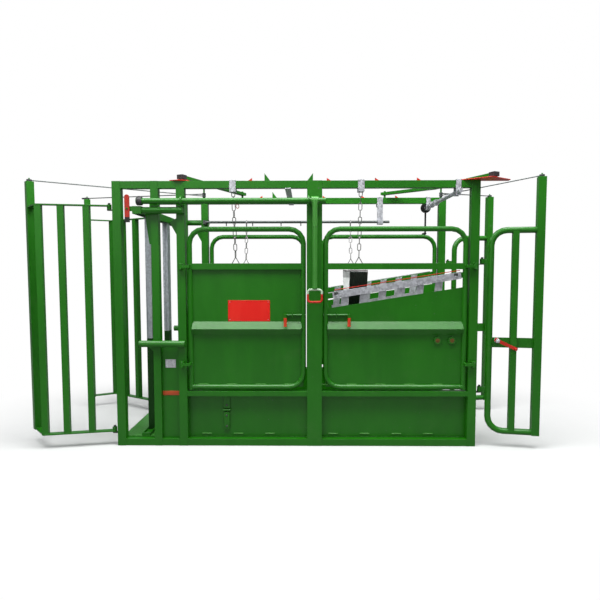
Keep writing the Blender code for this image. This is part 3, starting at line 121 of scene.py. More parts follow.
def add(tree, kind, **values):
    """A shader node with its inputs or its own settings filled in."""
    node = tree.nodes.new("ShaderNode" + kind)
    for key, value in values.items():
        label = key if key in node.inputs.keys() else key.replace("_", " ")
        if label in node.inputs.keys():
            node.inputs[label].default_value = value
        else:
            setattr(node, key, value)
    return node


def set_ramp(node, low, high, start, stop):
    """Places and colours of the two ends of a colour ramp."""
    first, last = node.color_ramp.elements
    first.position, last.position = low, high
    first.color, last.color = (*start, 1), (*stop, 1)


def world():
    """White to the camera, and a soft sky that brightens upwards to all else."""
    sky = bpy.data.worlds.new("studio")
    scene.world = sky
    tree = new_tree(sky)
    link = tree.links.new
    coords = add(tree, "TexCoord")
    split = add(tree, "SeparateXYZ")
    link(coords.outputs["Generated"], split.inputs[0])
    lift = add(tree, "MapRange", From_Min=-1.0, From_Max=1.0)
    link(split.outputs[2], lift.inputs[0])
    ramp = add(tree, "ValToRGB")
    set_ramp(ramp, *SKY_BAND, (0.26, 0.27, 0.26), (0.95, 0.96, 1.0))
    link(lift.outputs[0], ramp.inputs[0])
    soft = add(tree, "Background", Strength=SKY_STRENGTH)
    link(ramp.outputs[0], soft.inputs[0])
    white = add(tree, "Background", Color=WHITE, Strength=1.0)
    path = add(tree, "LightPath")
    blend = add(tree, "MixShader")
    link(path.outputs["Is Camera Ray"], blend.inputs[0])
    link(soft.outputs[0], blend.inputs[1])
    link(white.outputs[0], blend.inputs[2])
    link(blend.outputs[0], add(tree, "OutputWorld").inputs[0])


def floor_material():
    """Pale floor that fades to the white backdrop away from the object."""
    material = bpy.data.materials.new("pale_floor")
    tree = new_tree(material)
    link = tree.links.new
    coords = add(tree, "TexCoord")
    flat = add(tree, "VectorMath", operation="MULTIPLY")
    flat.inputs[1].default_value = FLOOR_OVAL
    link(coords.outputs["Object"], flat.inputs[0])
    far = add(tree, "VectorMath", operation="LENGTH")
    link(flat.outputs[0], far.inputs[0])
    near_edge, far_edge = FLOOR_FADE
    fade = add(tree, "MapRange", From_Min=near_edge, From_Max=far_edge, interpolation_type="SMOOTHSTEP")
    link(far.outputs["Value"], fade.inputs[0])

    grain = add(tree, "TexNoise", Scale=3.0, Detail=4.0)
    link(coords.outputs["Object"], grain.inputs["Vector"])
    tone = add(tree, "ValToRGB")
    set_ramp(tone, 0, 1, (0.60, 0.61, 0.60), (0.65, 0.66, 0.65))
    link(grain.outputs["Fac"], tone.inputs[0])
    path = add(tree, "LightPath")
    dim = add(tree, "MapRange", To_Min=FLOOR_BOUNCE, To_Max=1.0)
    link(path.outputs["Is Camera Ray"], dim.inputs[0])
    tint = add(tree, "VectorMath", operation="SCALE")
    link(tone.outputs[0], tint.inputs[0])
    link(dim.outputs[0], tint.inputs["Scale"])
    surface = add(tree, "BsdfPrincipled", Roughness=0.9)
    link(tint.outputs[0], surface.inputs["Base Color"])

    white = add(tree, "Emission", Color=WHITE, Strength=1.0)
    seen = add(tree, "Math", operation="MULTIPLY")
    link(path.outputs["Is Camera Ray"], seen.inputs[0])
    link(fade.outputs[0], seen.inputs[1])
    blend = add(tree, "MixShader")
    link(seen.outputs[0], blend.inputs[0])
    link(surface.outputs[0], blend.inputs[1])
    link(white.outputs[0], blend.inputs[2])
    link(blend.outputs[0], add(tree, "OutputMaterial").inputs[0])
    return material


def studio_floor():
    """A wide flat floor just under the object."""
    mesh = bpy.data.meshes.new("studio_floor")
    corners = [(x * FLOOR_HALF, y * FLOOR_HALF, 0) for x, y in ((-1, -1), (1, -1), (1, 1), (-1, 1))]
    mesh.from_pydata(corners, [], [(0, 1, 2, 3)])
    mesh.materials.append(floor_material())
    ground = bpy.data.objects.new("studio_floor", mesh)
    scene.collection.objects.link(ground)
    ground.location.z = -FLOOR_DROP


world()
studio_floor()


# Materials

# Enamels: the common tone, a deeper drift and a lighter streak
GREEN = dict(base=(0.0105, 0.152, 0.0012), deep=(0.0080, 0.123, 0.0010), light=(0.019, 0.194, 0.005))
TREAD_GREEN = dict(base=(0.034, 0.200, 0.020), deep=(0.026, 0.165, 0.014), light=(0.060, 0.270, 0.040))
# Hand lever: a lighter green, a painted highlight along the lever
LEVER_HIGHLIGHT_GREEN = dict(base=(0.050, 0.235, 0.032), deep=(0.036, 0.200, 0.022), light=(0.11, 0.36, 0.08))
# Weld beads: a lighter green, a painted highlight on the beads
WELD_HIGHLIGHT_GREEN = dict(base=(0.080, 0.300, 0.050), deep=(0.060, 0.250, 0.036), light=(0.14, 0.38, 0.10))
SCARLET = dict(base=(0.56, 0.022, 0.010), deep=(0.43, 0.014, 0.008), light=(0.72, 0.055, 0.025))
DARK_RED = dict(base=(0.40, 0.016, 0.008), deep=(0.31, 0.011, 0.006), light=(0.55, 0.045, 0.020))
SIGN_RED = dict(base=(0.78, 0.012, 0.006), deep=(0.72, 0.010, 0.005), light=(0.85, 0.04, 0.02))
ORANGE = dict(base=(0.52, 0.085, 0.020), deep=(0.42, 0.060, 0.015), light=(0.62, 0.14, 0.05))

# Where one colour of a part ends
ROOF_STOPS_X, ROOF_STOP_HALF = (-0.372, 0.275, 0.659, 0.993), 0.030
PLUGS_X, PLUG_Z = (END - 0.314, END - 0.197), 0.868
PLUG_RIM, PLUG_DISC = 0.024, 0.0165
DOOR_FRONT_Y = -WIDTH / 2 + 0.020
NECK_DARK_TOP = 0.86
BOLT_HANDLE_TOP = 1.058
LOCK_HANDLE_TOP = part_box("bail_lock_lever")[0][2] + 0.040
GRIP_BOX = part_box("hand_lever_grip")
GRIP_BARE_FROM = GRIP_BOX[0][2] + 0.62 * (GRIP_BOX[1][2] - GRIP_BOX[0][2])
TREADS_PER_METRE = 24.0


class Shader:
    """A Principled material with object coordinates and short calls for its textures."""

    def __init__(self, name, **sockets):
        self.material = bpy.data.materials.new(name)
        self.tree = new_tree(self.material)
        self.coords = add(self.tree, "TexCoord").outputs["Object"]
        self.surface = add(self.tree, "BsdfPrincipled")
        for key, value in sockets.items():
            self.surface.inputs[key.replace("_", " ")].default_value = value
        self.tree.links.new(self.surface.outputs[0], add(self.tree, "OutputMaterial").inputs[0])

    def link(self, output, target):
        self.tree.links.new(output, target)

    def stretch(self, scale):
        """Coordinates scaled along each axis."""
        node = add(self.tree, "Mapping")
        node.inputs["Scale"].default_value = scale
        self.link(self.coords, node.inputs["Vector"])
        return node.outputs[0]

    def noise(self, scale, detail=4.0, rough=0.55, where=None):
        node = add(self.tree, "TexNoise", Scale=scale, Detail=detail, Roughness=rough)
        self.link(where or self.coords, node.inputs["Vector"])
        return node.outputs["Fac"]

    def cells(self, scale, output="Distance"):
        node = add(self.tree, "TexVoronoi", Scale=scale)
        self.link(self.coords, node.inputs["Vector"])
        return node.outputs[output]

    def ramp(self, value, low, high, start, stop):
        """A colour that runs from start to stop as a value goes from low to high."""
        node = add(self.tree, "ValToRGB")
        set_ramp(node, low, high, start, stop)
        self.link(value, node.inputs[0])
        return node.outputs[0]

    def mask(self, value, low, high):
        """0 at low and under it, 1 at high and over it."""
        node = add(self.tree, "MapRange", From_Min=low, From_Max=high)
        self.link(value, node.inputs[0])
        return node.outputs[0]

    def math(self, operation, a, b):
        node = add(self.tree, "Math", operation=operation)
        for socket, value in zip(node.inputs, (a, b)):
            if isinstance(value, (int, float)):
                socket.default_value = value
            else:
                self.link(value, socket)
        return node.outputs[0]

    def mix(self, factor, first, second):
        """Blends two colours; each argument is a socket or a plain value."""
        node = self.tree.nodes.new("ShaderNodeMix")
        node.data_type = "RGBA"
        for index, value in ((0, factor), (6, first), (7, second)):
            if isinstance(value, (int, float)):
                node.inputs[index].default_value = value
            elif isinstance(value, tuple):
                node.inputs[index].default_value = (*value, 1)
            else:
                self.link(value, node.inputs[index])
        return node.outputs[2]

    def colour(self, output):
        self.link(output, self.surface.inputs["Base Color"])

    def repaint(self, where, tint):
        """Lays another colour over the present one where a mask is 1."""
        socket = self.surface.inputs["Base Color"]
        self.colour(self.mix(where, socket.links[0].from_socket, tint))

    def roughness(self, value, low, high, at=(0.3, 0.7)):
        """Roughness from low to high as a value goes through a range."""
        node = add(self.tree, "MapRange", From_Min=at[0], From_Max=at[1], To_Min=low, To_Max=high)
        self.link(value, node.inputs[0])
        self.link(node.outputs[0], self.surface.inputs["Roughness"])

    def bump(self, *layers, edge=0.003):
        """Stacked bumps over softened edges; a layer is (height, strength, distance)."""
        bevel = add(self.tree, "Bevel", Radius=edge, samples=4)
        normal = bevel.outputs[0]
        for height, strength, distance in layers:
            node = add(self.tree, "Bump", Strength=strength, Distance=distance)
            self.link(height, node.inputs["Height"])
            self.link(normal, node.inputs["Normal"])
            normal = node.outputs[0]
        self.link(normal, self.surface.inputs["Normal"])

    def axis(self, index):
        """One coordinate, 0 for x to 2 for z."""
        split = add(self.tree, "SeparateXYZ")
        self.link(self.coords, split.inputs[0])
        return split.outputs[index]

    def above(self, index, limit):
        """1 where a coordinate is over a limit."""
        return self.math("GREATER_THAN", self.axis(index), limit)

    def below(self, index, limit):
        """1 where a coordinate is under a limit."""
        return self.math("LESS_THAN", self.axis(index), limit)

    def within(self, index, centre, half):
        """1 where a coordinate lies within half of centre."""
        gap = self.math("ABSOLUTE", self.math("SUBTRACT", self.axis(index), centre), 0.0)
        return self.math("LESS_THAN", gap, half)


def scaled(tint, factor):
    return tuple(min(1, value * factor) for value in tint)


def paint(name, base, deep, light, chip=0.69):
    """Brushed-on gloss enamel: slow tone drift, fine orange peel, dust and rare scuffs."""
    s = Shader(name, Metallic=0.0, Specular_IOR_Level=0.38, Coat_Weight=0.08, Coat_Roughness=0.2)
    drift = s.noise(1.7, 3.0)
    fine = s.noise(38.0, 5.0, 0.6)
    streak = s.noise(9.0, 5.0, 0.6, s.stretch((1.0, 1.0, 0.22)))
    tone = s.mix(s.mask(drift, 0.3, 0.7), deep, base)
    tone = s.mix(s.math("MULTIPLY", s.mask(streak, 0.45, 0.8), 0.45), tone, light)
    dust = s.mask(s.noise(5.5, 6.0, 0.7), 0.56, 0.78)
    tone = s.mix(s.math("MULTIPLY", dust, 0.06), tone, (0.20, 0.25, 0.13))
    scuff = s.mask(s.noise(62.0, 3.0, 0.5), chip, chip + 0.02)
    worn = s.math("MULTIPLY", scuff, s.mask(s.noise(3.1, 2.0), 0.52, 0.6))
    tone = s.mix(worn, tone, tuple(0.4 * value + 0.06 for value in light))
    s.colour(tone)
    s.roughness(fine, 0.31, 0.43)
    s.bump((fine, 0.10, 0.001), (streak, 0.08, 0.002), (worn, 0.4, 0.0004))
    return s


def frame_paint(name):
    """Frame enamel with the red roof stops and the dark pins outside the corner posts."""
    s = paint(name, **GREEN)
    over = s.above(2, HEIGHT + 0.0005)
    stops = s.within(0, ROOF_STOPS_X[0], ROOF_STOP_HALF)
    for middle in ROOF_STOPS_X[1:]:
        stops = s.math("MAXIMUM", stops, s.within(0, middle, ROOF_STOP_HALF))
    s.repaint(s.math("MULTIPLY", over, stops), SCARLET["base"])
    outside = s.math("GREATER_THAN", s.math("ABSOLUTE", s.axis(0), 0.0), END + 0.0015)
    s.repaint(outside, (0.022, 0.034, 0.020))
    return s


def plugged_paint(name):
    """Door enamel with two rusty brown plugs in darker rims."""
    s = paint(name, **GREEN)
    for x in PLUGS_X:
        dx = s.math("SUBTRACT", s.axis(0), x)
        dz = s.math("SUBTRACT", s.axis(2), PLUG_Z)
        square = s.math("ADD", s.math("MULTIPLY", dx, dx), s.math("MULTIPLY", dz, dz))
        front = s.below(1, DOOR_FRONT_Y)
        rust = s.ramp(s.noise(60.0, 4.0), 0.35, 0.65, (0.09, 0.055, 0.008), (0.17, 0.085, 0.014))
        for radius, tint in ((PLUG_RIM, (0.030, 0.110, 0.012)), (PLUG_DISC, rust)):
            s.repaint(s.math("MULTIPLY", front, s.math("LESS_THAN", square, radius ** 2)), tint)
    return s


def checker_plate(name):
    """Painted tread plate with raised lozenges that change direction from cell to cell."""
    s = paint(name, **TREAD_GREEN)
    u = s.math("MULTIPLY", s.math("ADD", s.axis(0), s.axis(1)), TREADS_PER_METRE)
    v = s.math("MULTIPLY", s.math("SUBTRACT", s.axis(0), s.axis(1)), TREADS_PER_METRE)
    p = s.math("SUBTRACT", s.math("FRACT", u, 0.0), 0.5)
    q = s.math("SUBTRACT", s.math("FRACT", v, 0.0), 0.5)
    parity = s.math("MODULO", s.math("ADD", s.math("FLOOR", u, 0.0), s.math("FLOOR", v, 0.0)), 2.0)
    crossed = s.math("GREATER_THAN", s.math("ABSOLUTE", parity, 0.0), 0.5)

    def lozenge(a, b):
        long, short = s.math("DIVIDE", a, 0.42), s.math("DIVIDE", b, 0.15)
        square = s.math("ADD", s.math("MULTIPLY", long, long), s.math("MULTIPLY", short, short))
        return s.math("SUBTRACT", 1.0, square)

    first, second = lozenge(p, q), lozenge(q, p)
    keep = s.math("SUBTRACT", 1.0, crossed)
    height = s.math("ADD", s.math("MULTIPLY", keep, first), s.math("MULTIPLY", crossed, second))
    raised = s.mask(height, 0.0, 0.5)
    s.repaint(s.math("MULTIPLY", raised, 0.5), (0.12, 0.36, 0.085))
    s.bump((raised, 0.8, 0.003))
    return s


def galvanised(name, tint=(0.56, 0.57, 0.61)):
    """Hot-dip zinc: angular spangle, bright and dull grains, grey drips."""
    s = Shader(name, Metallic=0.72, Specular_IOR_Level=0.5)
    grey = s.tree.nodes.new("ShaderNodeRGBToBW")
    s.link(s.cells(72.0, "Color"), grey.inputs[0])
    spangle = grey.outputs[0]
    cloud = s.noise(14.0, 5.0, 0.6)
    tone = s.ramp(spangle, 0.1, 0.9, scaled(tint, 0.82), scaled(tint, 1.18))
    tone = s.mix(s.math("MULTIPLY", s.mask(cloud, 0.5, 0.72), 0.4), tone, (0.70, 0.71, 0.73))
    drip = s.mask(s.noise(12.0, 4.0, 0.6, s.stretch((2.0, 2.0, 0.25))), 0.6, 0.75)
    tone = s.mix(s.math("MULTIPLY", drip, 0.3), tone, (0.30, 0.30, 0.32))
    s.colour(tone)
    s.roughness(spangle, 0.34, 0.56, (0.1, 0.9))
    s.bump((spangle, 0.10, 0.0006), (cloud, 0.12, 0.001), edge=0.0015)
    return s


def neck_bar_zinc(name):
    """Galvanised neck bar with dark upright streaks, dark green below the guide tube."""
    s = galvanised(name, (0.50, 0.53, 0.58))
    streak = s.noise(26.0, 4.0, 0.55, s.stretch((1.6, 1.6, 0.03)))
    s.repaint(s.math("MULTIPLY", s.mask(streak, 0.50, 0.66), 0.75), (0.14, 0.16, 0.19))
    # dark green below the guide tube
    s.repaint(s.below(2, NECK_DARK_TOP), (0.012, 0.070, 0.010))
    return s


def steel(name, tint, rust=0.25):
    """Bare or oily steel with a little rust bloom."""
    s = Shader(name, Metallic=0.85)
    cloud = s.noise(22.0, 5.0, 0.6)
    tone = s.ramp(cloud, 0.3, 0.7, scaled(tint, 0.7), scaled(tint, 1.25))
    bloom = s.mask(s.noise(31.0, 6.0, 0.7), 0.60, 0.74)
    tone = s.mix(s.math("MULTIPLY", bloom, rust), tone, (0.16, 0.062, 0.025))
    s.colour(tone)
    s.roughness(cloud, 0.32, 0.60)
    s.bump((cloud, 0.2, 0.001), edge=0.0015)
    return s


def moulded(name, tint):
    """Black plastic or rubber with a fine grain and slightly paler clouds."""
    s = Shader(name, Metallic=0.0)
    grain = s.cells(420.0)
    cloud = s.noise(11.0, 5.0)
    s.colour(s.ramp(cloud, 0.3, 0.75, tint, tuple(value * 2.2 + 0.01 for value in tint)))
    s.roughness(cloud, 0.46, 0.68)
    s.bump((grain, 0.14, 0.0006), (cloud, 0.1, 0.001), edge=0.002)
    return s


def belt_rubber(name):
    """Dark woven outer face of the belts."""
    s = Shader(name, Metallic=0.0)
    weave = add(s.tree, "TexWave", Scale=46.0, Distortion=0.6)
    s.link(s.coords, weave.inputs["Vector"])
    cloud = s.noise(12.0, 5.0)
    s.colour(s.ramp(cloud, 0.3, 0.75, (0.010, 0.020, 0.013), (0.030, 0.048, 0.034)))
    s.roughness(cloud, 0.58, 0.80)
    s.bump((weave.outputs["Fac"], 0.5, 0.0014), (cloud, 0.15, 0.001), edge=0.002)
    return s


def belt_lining(name, shade=1.0):
    """Dusty woven inner face of the belts; shade darkens it, for the painted shadow at their upper ends."""
    s = Shader(name, Metallic=0.0)
    cloud = s.noise(18.0, 5.0)
    fibre = s.noise(150.0, 3.0, 0.6, s.stretch((1.0, 0.06, 0.06)))
    tone = s.ramp(cloud, 0.3, 0.7, scaled((0.36, 0.38, 0.37), shade), scaled((0.52, 0.54, 0.53), shade))
    s.colour(s.mix(s.math("MULTIPLY", fibre, 0.4), tone, scaled((0.20, 0.21, 0.20), shade)))
    s.roughness(cloud, 0.62, 0.82)
    s.bump((fibre, 0.3, 0.0008), edge=0.0015)
    return s


green = paint("green_enamel", **GREEN)
frame_green = frame_paint("frame_enamel")
plugged_green = plugged_paint("plugged_door_enamel")
lever_highlight_green = paint("lever_painted_highlight", **LEVER_HIGHLIGHT_GREEN)
weld_highlight_green = paint("weld_painted_highlight", **WELD_HIGHLIGHT_GREEN)
tread = checker_plate("tread_plate")
red = paint("red_enamel", **SCARLET)
orange = paint("orange_strap", **ORANGE)
sign_red = paint("sign_enamel", **SIGN_RED, chip=0.9)
bolt_green = paint("bolt_enamel", **GREEN)
bolt_green.repaint(bolt_green.below(2, BOLT_HANDLE_TOP), (0.60, 0.045, 0.015))
lock_red = paint("lock_enamel", **DARK_RED)
lock_red.repaint(lock_red.below(2, LOCK_HANDLE_TOP), (0.012, 0.015, 0.012))
grip_red = paint("grip_enamel", **SCARLET)
grip_red.repaint(grip_red.above(2, GRIP_BARE_FROM), (0.42, 0.56, 0.40))
zinc = galvanised("hot_dip_zinc")
neck_zinc = neck_bar_zinc("neck_bar_zinc")
plate_zinc = galvanised("data_plate_metal", (0.66, 0.66, 0.70))
dark_steel = steel("dark_steel", (0.105, 0.120, 0.115))
chain_steel = steel("chain_steel", (0.34, 0.33, 0.33), rust=0.2)
hardware = steel("hardware_steel", (0.10, 0.11, 0.10), rust=0.35)
black = moulded("black_plastic", (0.012, 0.012, 0.013))
belt_dark = belt_rubber("belt_rubber")
belt_grey = belt_lining("belt_lining")
# darker lining for the painted shadow at the belts' upper ends
belt_shadow_lining = belt_lining("belt_shadow_lining", shade=0.42)


def put(shader, *names):
    """Gives CAD nodes their material."""
    for name in names:
        mesh = nodes[name].data
        mesh.materials.clear()
        mesh.materials.append(shader.material)


put(green, *nodes)
put(frame_green, "near_side_frame", "far_side_frame")
put(plugged_green, "near_rear_door")
# the hand lever takes the lighter green of its painted highlight
put(lever_highlight_green, "hand_lever")
put(tread, "floor_plate")
put(bolt_green, *(f"{side}_{end}_door_bolt" for side in ("near", "far") for end in ("front", "rear")))
put(lock_red, "bail_lock_lever")
put(grip_red, "hand_lever_grip")
put(red, "rear_gate_latch", "front_guide_plate", "rear_guide_plate")
put(sign_red, "sign_plate")
put(plate_zinc, "data_plate")
put(neck_zinc, "near_bail_leaf", "far_bail_leaf")
put(zinc, "roof_cross_bar", "near_slat_bar", "far_slat_bar", "near_slat_rack", "far_slat_rack", "rod_hanger",
    "near_lift_bracket", "far_lift_bracket", "lift_shaft", "front_belt_hanger", "rear_belt_hanger")
put(dark_steel, "strap_rod", "near_front_gate_rod", "far_front_gate_rod", "near_rear_gate_rod",
    "far_rear_gate_rod")
put(black, "front_lever_cap", "rear_lever_cap", "lift_crank", "front_belly_belt", "rear_belly_belt")
put(chain_steel, *(f"{end}_belt_{side}_chain" for end in ("front", "rear") for side in ("near", "far")))


# Shapes that the pieces share

def ring_of(bm, middle, normal, other, radius, sides, shift=0.0):
    """Vertices round a circle; shift turns them by a share of a side."""
    turns = [2 * pi * (k + shift) / sides for k in range(sides)]
    return [bm.verts.new(middle + (normal * cos(a) + other * sin(a)) * radius) for a in turns]


def skin(bm, rings, closed=False, material=0):
    """Quads from ring to ring, with caps unless the rings close up."""
    following = rings[1:] + rings[:1] if closed else rings[1:]
    faces = []
    for ring, after in zip(rings, following):
        for k in range(len(ring)):
            n = (k + 1) % len(ring)
            faces.append(bm.faces.new((ring[k], ring[n], after[n], after[k])))
    if not closed:
        faces += [bm.faces.new(rings[0][::-1]), bm.faces.new(rings[-1])]
    for face in faces:
        face.material_index = material


def sweep(bm, points, radius, sides=8, closed=False):
    """A round wire along the points, without twist."""
    points = [Vector(point) for point in points]
    count, normal, rings = len(points), None, []
    for i, point in enumerate(points):
        before = points[i - 1] if closed or i else point
        after = points[(i + 1) % count] if closed or i < count - 1 else point
        along = (after - before).normalized()
        normal = along.orthogonal() if normal is None else normal
        normal = (normal - along * normal.dot(along)).normalized()
        rings.append(ring_of(bm, point, normal, along.cross(normal), radius, sides))
    skin(bm, rings, closed)


def turned(bm, foot, along, profile, sides=16, material=0):
    """A turned piece; profile is (distance along, radius) pairs from foot to head."""
    along = Vector(along).normalized()
    normal = along.orthogonal().normalized()
    other = along.cross(normal)
    rings = [ring_of(bm, Vector(foot) + along * reach, normal, other, radius, sides, shift=0.5)
             for reach, radius in profile]
    skin(bm, rings, material=material)


def bolt_head(bm, foot, along, size, material=0):
    """Washer and chamfered hexagon head; size is the head's radius."""
    along = Vector(along).normalized()
    washer = ((0, size * 1.35), (size * 0.2, size * 1.35), (size * 0.25, size * 1.28))
    head = ((0, size), (size * 0.6, size), (size * 0.75, size * 0.86))
    turned(bm, foot, along, washer, 20, material)
    turned(bm, Vector(foot) + along * size * 0.24, along, head, 6, material)


def rivet(bm, foot, along, size, material=0):
    """Low domed rivet or stud; size is its radius."""
    dome = ((0, 1), (0.22, 0.97), (0.42, 0.8), (0.55, 0.45), (0.58, 0.12))
    turned(bm, foot, along, [(reach * size, radius * size) for reach, radius in dome], 14, material)


def slab(bm, low, high, bevel):
    """A rounded-edge block between two corners."""
    made = bmesh.ops.create_cube(bm, size=1.0)["verts"]
    bmesh.ops.scale(bm, vec=[b - a for a, b in zip(low, high)], verts=made)
    bmesh.ops.translate(bm, vec=[(a + b) / 2 for a, b in zip(low, high)], verts=made)
    edges = {edge for vert in made for edge in vert.link_edges}
    bmesh.ops.bevel(bm, geom=list(edges), offset=bevel, segments=2, affect="EDGES", profile=0.5)


def bead(bm, start, stop, y, z, size=0.0056, ripple=0.0065):
    """A weld bead along x, as a run of overlapping ripples."""
    stations = 2 * max(3, round((stop - start) / ripple))
    rings = []
    for i in range(stations + 1):
        swell = size * (1.0 if i % 2 else 0.78) * (0.55 if i in (0, stations) else 1.0)
        middle = Vector((start + (stop - start) * i / stations, y, z))
        rings.append(ring_of(bm, middle, Vector((0, 1, 0)), Vector((0, 0, 1)), swell, 8))
    skin(bm, rings)


def plate_corners(low, high, inset):
    """The (x, z) corners of an upright plate, moved in by an inset, in order round it."""
    left, right = low[0] + inset, high[0] - inset
    foot, top = low[2] + inset, high[2] - inset
    return (left, foot), (right, foot), (right, top), (left, top)


def piece(name, bm, shaders, body, smooth=38, stands_for=()):
    """Turns a bmesh into a visible piece that rides on a body; smooth is in degrees."""
    mesh = bpy.data.meshes.new(name)
    bmesh.ops.recalc_face_normals(bm, faces=bm.faces)
    bm.to_mesh(mesh)
    bm.free()
    for shader in shaders:
        mesh.materials.append(shader.material)
    mesh.shade_smooth()
    mesh.set_sharp_from_angle(angle=radians(smooth))
    made = bpy.data.objects.new(name, mesh)
    scene.collection.objects.link(made)
    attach(made, body)
    if stands_for:
        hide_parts(*stands_for)
    return made


# Belts and chains

SIDE_Y = -WIDTH / 2 + 0.030                                 # middle of the near side frame
BELTS_X = (("front", -0.500), ("rear", 0.522))
BELT_Y = WIDTH / 2 - 0.140                                  # the end bars, either side of the middle
BELT_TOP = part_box("front_belly_belt")[1][2]
BELT_SAG, BELT_CURVE = 0.420, 2.6
BELT_WIDE, BELT_THICK = 0.150, 0.010
BELT_STEPS, BELT_COLUMNS = 66, 40
# length of the inner face at each upper end of a belt that is darkened as painted shadow
BELT_SHADED_END = 0.040
RIB, GROOVE, BORDER = 0.97, 0.72, 0.80                      # outer face, in shares of the thickness
BAR = 0.008                                                 # radius of an end bar
SLING_DROP = 0.112
CHAIN_LINK, CHAIN_WIRE = (0.064, 0.026), 0.0035
CHAIN_BITE = 0.0021                                         # how far a link reaches past its share
LINK_TURNS = (7, 98)                                        # degrees, of even and of odd links
NEAR_CHAIN_TOP = 2.0814
FAR_CHAIN_Y, FAR_CHAIN_TOP = 0.418, 1.8649
RING_Z, RING_RADIUS = 1.8953, 0.031


def link_loop(start, stop, along, side):
    """Middle line of one chain link, two half circles joined by straights."""
    half = CHAIN_LINK[1] / 2
    loop = []
    for centre, turn in ((start + along * half, -1), (stop - along * half, 1)):
        for step in range(9):
            angle = pi * step / 8
            loop.append(centre + side * half * cos(angle) * -turn + along * half * sin(angle) * turn)
    return loop


def sling(bm, top):
    """Two wire legs from a point down to the belt's end bar, with a nut at each end of the bar."""
    low = top + Vector((0, 0, -SLING_DROP))
    spread = BELT_WIDE / 2 - 0.012
    nut = ((0, BAR * 0.9), (0.006, BAR * 0.9), (0.008, BAR * 0.7))
    for end in (-1, 1):
        foot = low + Vector((end * spread, 0, 0))
        sweep(bm, (top, top.lerp(foot, 0.5), foot), CHAIN_WIRE)
        turned(bm, foot + Vector((end * 0.001, 0, 0)), (end, 0, 0), nut, 6)
    reach = Vector((spread + 0.012, 0, 0))
    sweep(bm, (low - reach, low + reach), BAR * 0.9, 14)


def chain_piece(name, top, bottom, ring, body, node):
    """Round-wire links, the sling below them and, where ring is true, a ring round the strap rod."""
    bm = bmesh.new()
    top, bottom = Vector(top), Vector(bottom)
    along, length = (bottom - top).normalized(), (bottom - top).length
    count = round(length / (CHAIN_LINK[0] - 2 * CHAIN_WIRE))
    pitch = length / count
    for i in range(count):
        start = top + along * (pitch * i - CHAIN_BITE)
        stop = top + along * (pitch * (i + 1) + CHAIN_BITE)
        side = Matrix.Rotation(radians(LINK_TURNS[i % 2]), 3, along) @ Vector((1, 0, 0))
        sweep(bm, link_loop(start, stop, along, side), CHAIN_WIRE * 0.96, closed=True)
    if ring:
        turns = [2 * pi * k / 28 for k in range(28)]
        circle = [(top[0], FAR_CHAIN_Y + RING_RADIUS * cos(a), RING_Z + RING_RADIUS * sin(a)) for a in turns]
        sweep(bm, circle, CHAIN_WIRE, closed=True)
    sling(bm, bottom)
    return piece(name, bm, [chain_steel], body, 50, (node,))


def belt_rows(bm, point, out):
    """Vertices across the belt at one place: the ribbed outer row and the smooth inner row."""
    outer, inner = [], []
    for k in range(BELT_COLUMNS + 1):
        across = Vector(((k / BELT_COLUMNS - 0.5) * BELT_WIDE * 0.998, 0, 0))
        edge = k in (0, BELT_COLUMNS)
        depth = BORDER if edge else RIB if k % 4 in (1, 2) else GROOVE
        outer.append(bm.verts.new(point + across + out * BELT_THICK * depth))
        inner.append(bm.verts.new(point + across + out * (0.0012 if edge else 0.0003)))
    return outer, inner


def belt_piece(name, x, body, node):
    """Ribbed belt: ribs run down the outside, the inside is smooth and pale, darker near both upper ends as
    painted shadow.
    """
    curve = []
    for i in range(BELT_STEPS + 1):
        t = -1 + 2 * i / BELT_STEPS
        curve.append(Vector((x, BELT_Y * t, BELT_TOP - 0.0002 - BELT_SAG * (1 - abs(t) ** BELT_CURVE))))
    travelled = [0.0]
    for a, b in zip(curve, curve[1:]):
        travelled.append(travelled[-1] + (b - a).length)
    length = travelled[-1]

    bm = bmesh.new()
    outer, inner = [], []
    for i, point in enumerate(curve):
        along = (curve[min(i + 1, BELT_STEPS)] - curve[max(i - 1, 0)]).normalized()
        rows = belt_rows(bm, point, Vector((0, along.z, -along.y)))
        outer.append(rows[0])
        inner.append(rows[1])
    for i in range(BELT_STEPS):
        # inner faces near either upper end take the darker lining, a painted shadow
        in_end_shadow = min(travelled[i], length - travelled[i + 1]) < BELT_SHADED_END
        for k in range(BELT_COLUMNS):
            bm.faces.new((outer[i][k], outer[i][k + 1], outer[i + 1][k + 1], outer[i + 1][k]))
            face = bm.faces.new((inner[i][k], inner[i + 1][k], inner[i + 1][k + 1], inner[i][k + 1]))
            face.material_index = 2 if in_end_shadow else 1
        for k in (0, BELT_COLUMNS):
            bm.faces.new((outer[i][k], outer[i + 1][k], inner[i + 1][k], inner[i][k]))
    for i in (0, BELT_STEPS):
        for k in range(BELT_COLUMNS):
            face = bm.faces.new((outer[i][k], inner[i][k], inner[i][k + 1], outer[i][k + 1]))
            face.material_index = 1
    made = piece(name, bm, [belt_dark, belt_grey, belt_shadow_lining], body, 30, (node,))


def hung_belt(word, x):
    """One belly belt and the two chains that carry it."""
    body, foot = f"{word}_belt_body", BELT_TOP + BAR + 0.0003 + SLING_DROP
    bars = [chain_piece(f"{word}_near_links", (x, SIDE_Y, NEAR_CHAIN_TOP), (x, -BELT_Y, foot), False, body,
                        f"{word}_belt_near_chain"),
            chain_piece(f"{word}_far_links", (x, FAR_CHAIN_Y, FAR_CHAIN_TOP), (x, BELT_Y, foot), True, body,
                        f"{word}_belt_far_chain")]
    belt_piece(f"{word}_ribbed_belt", x, body, f"{word}_belly_belt")


# Small fittings, each on what carries it

OUTWARDS = (0, -1, 0)                                       # away from the near side
DOOR_WELD_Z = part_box("near_front_door")[0][2] + 0.0440
RACK_SLOPE = tan(radians(8.9))                              # rise of the sloping bar towards the rear


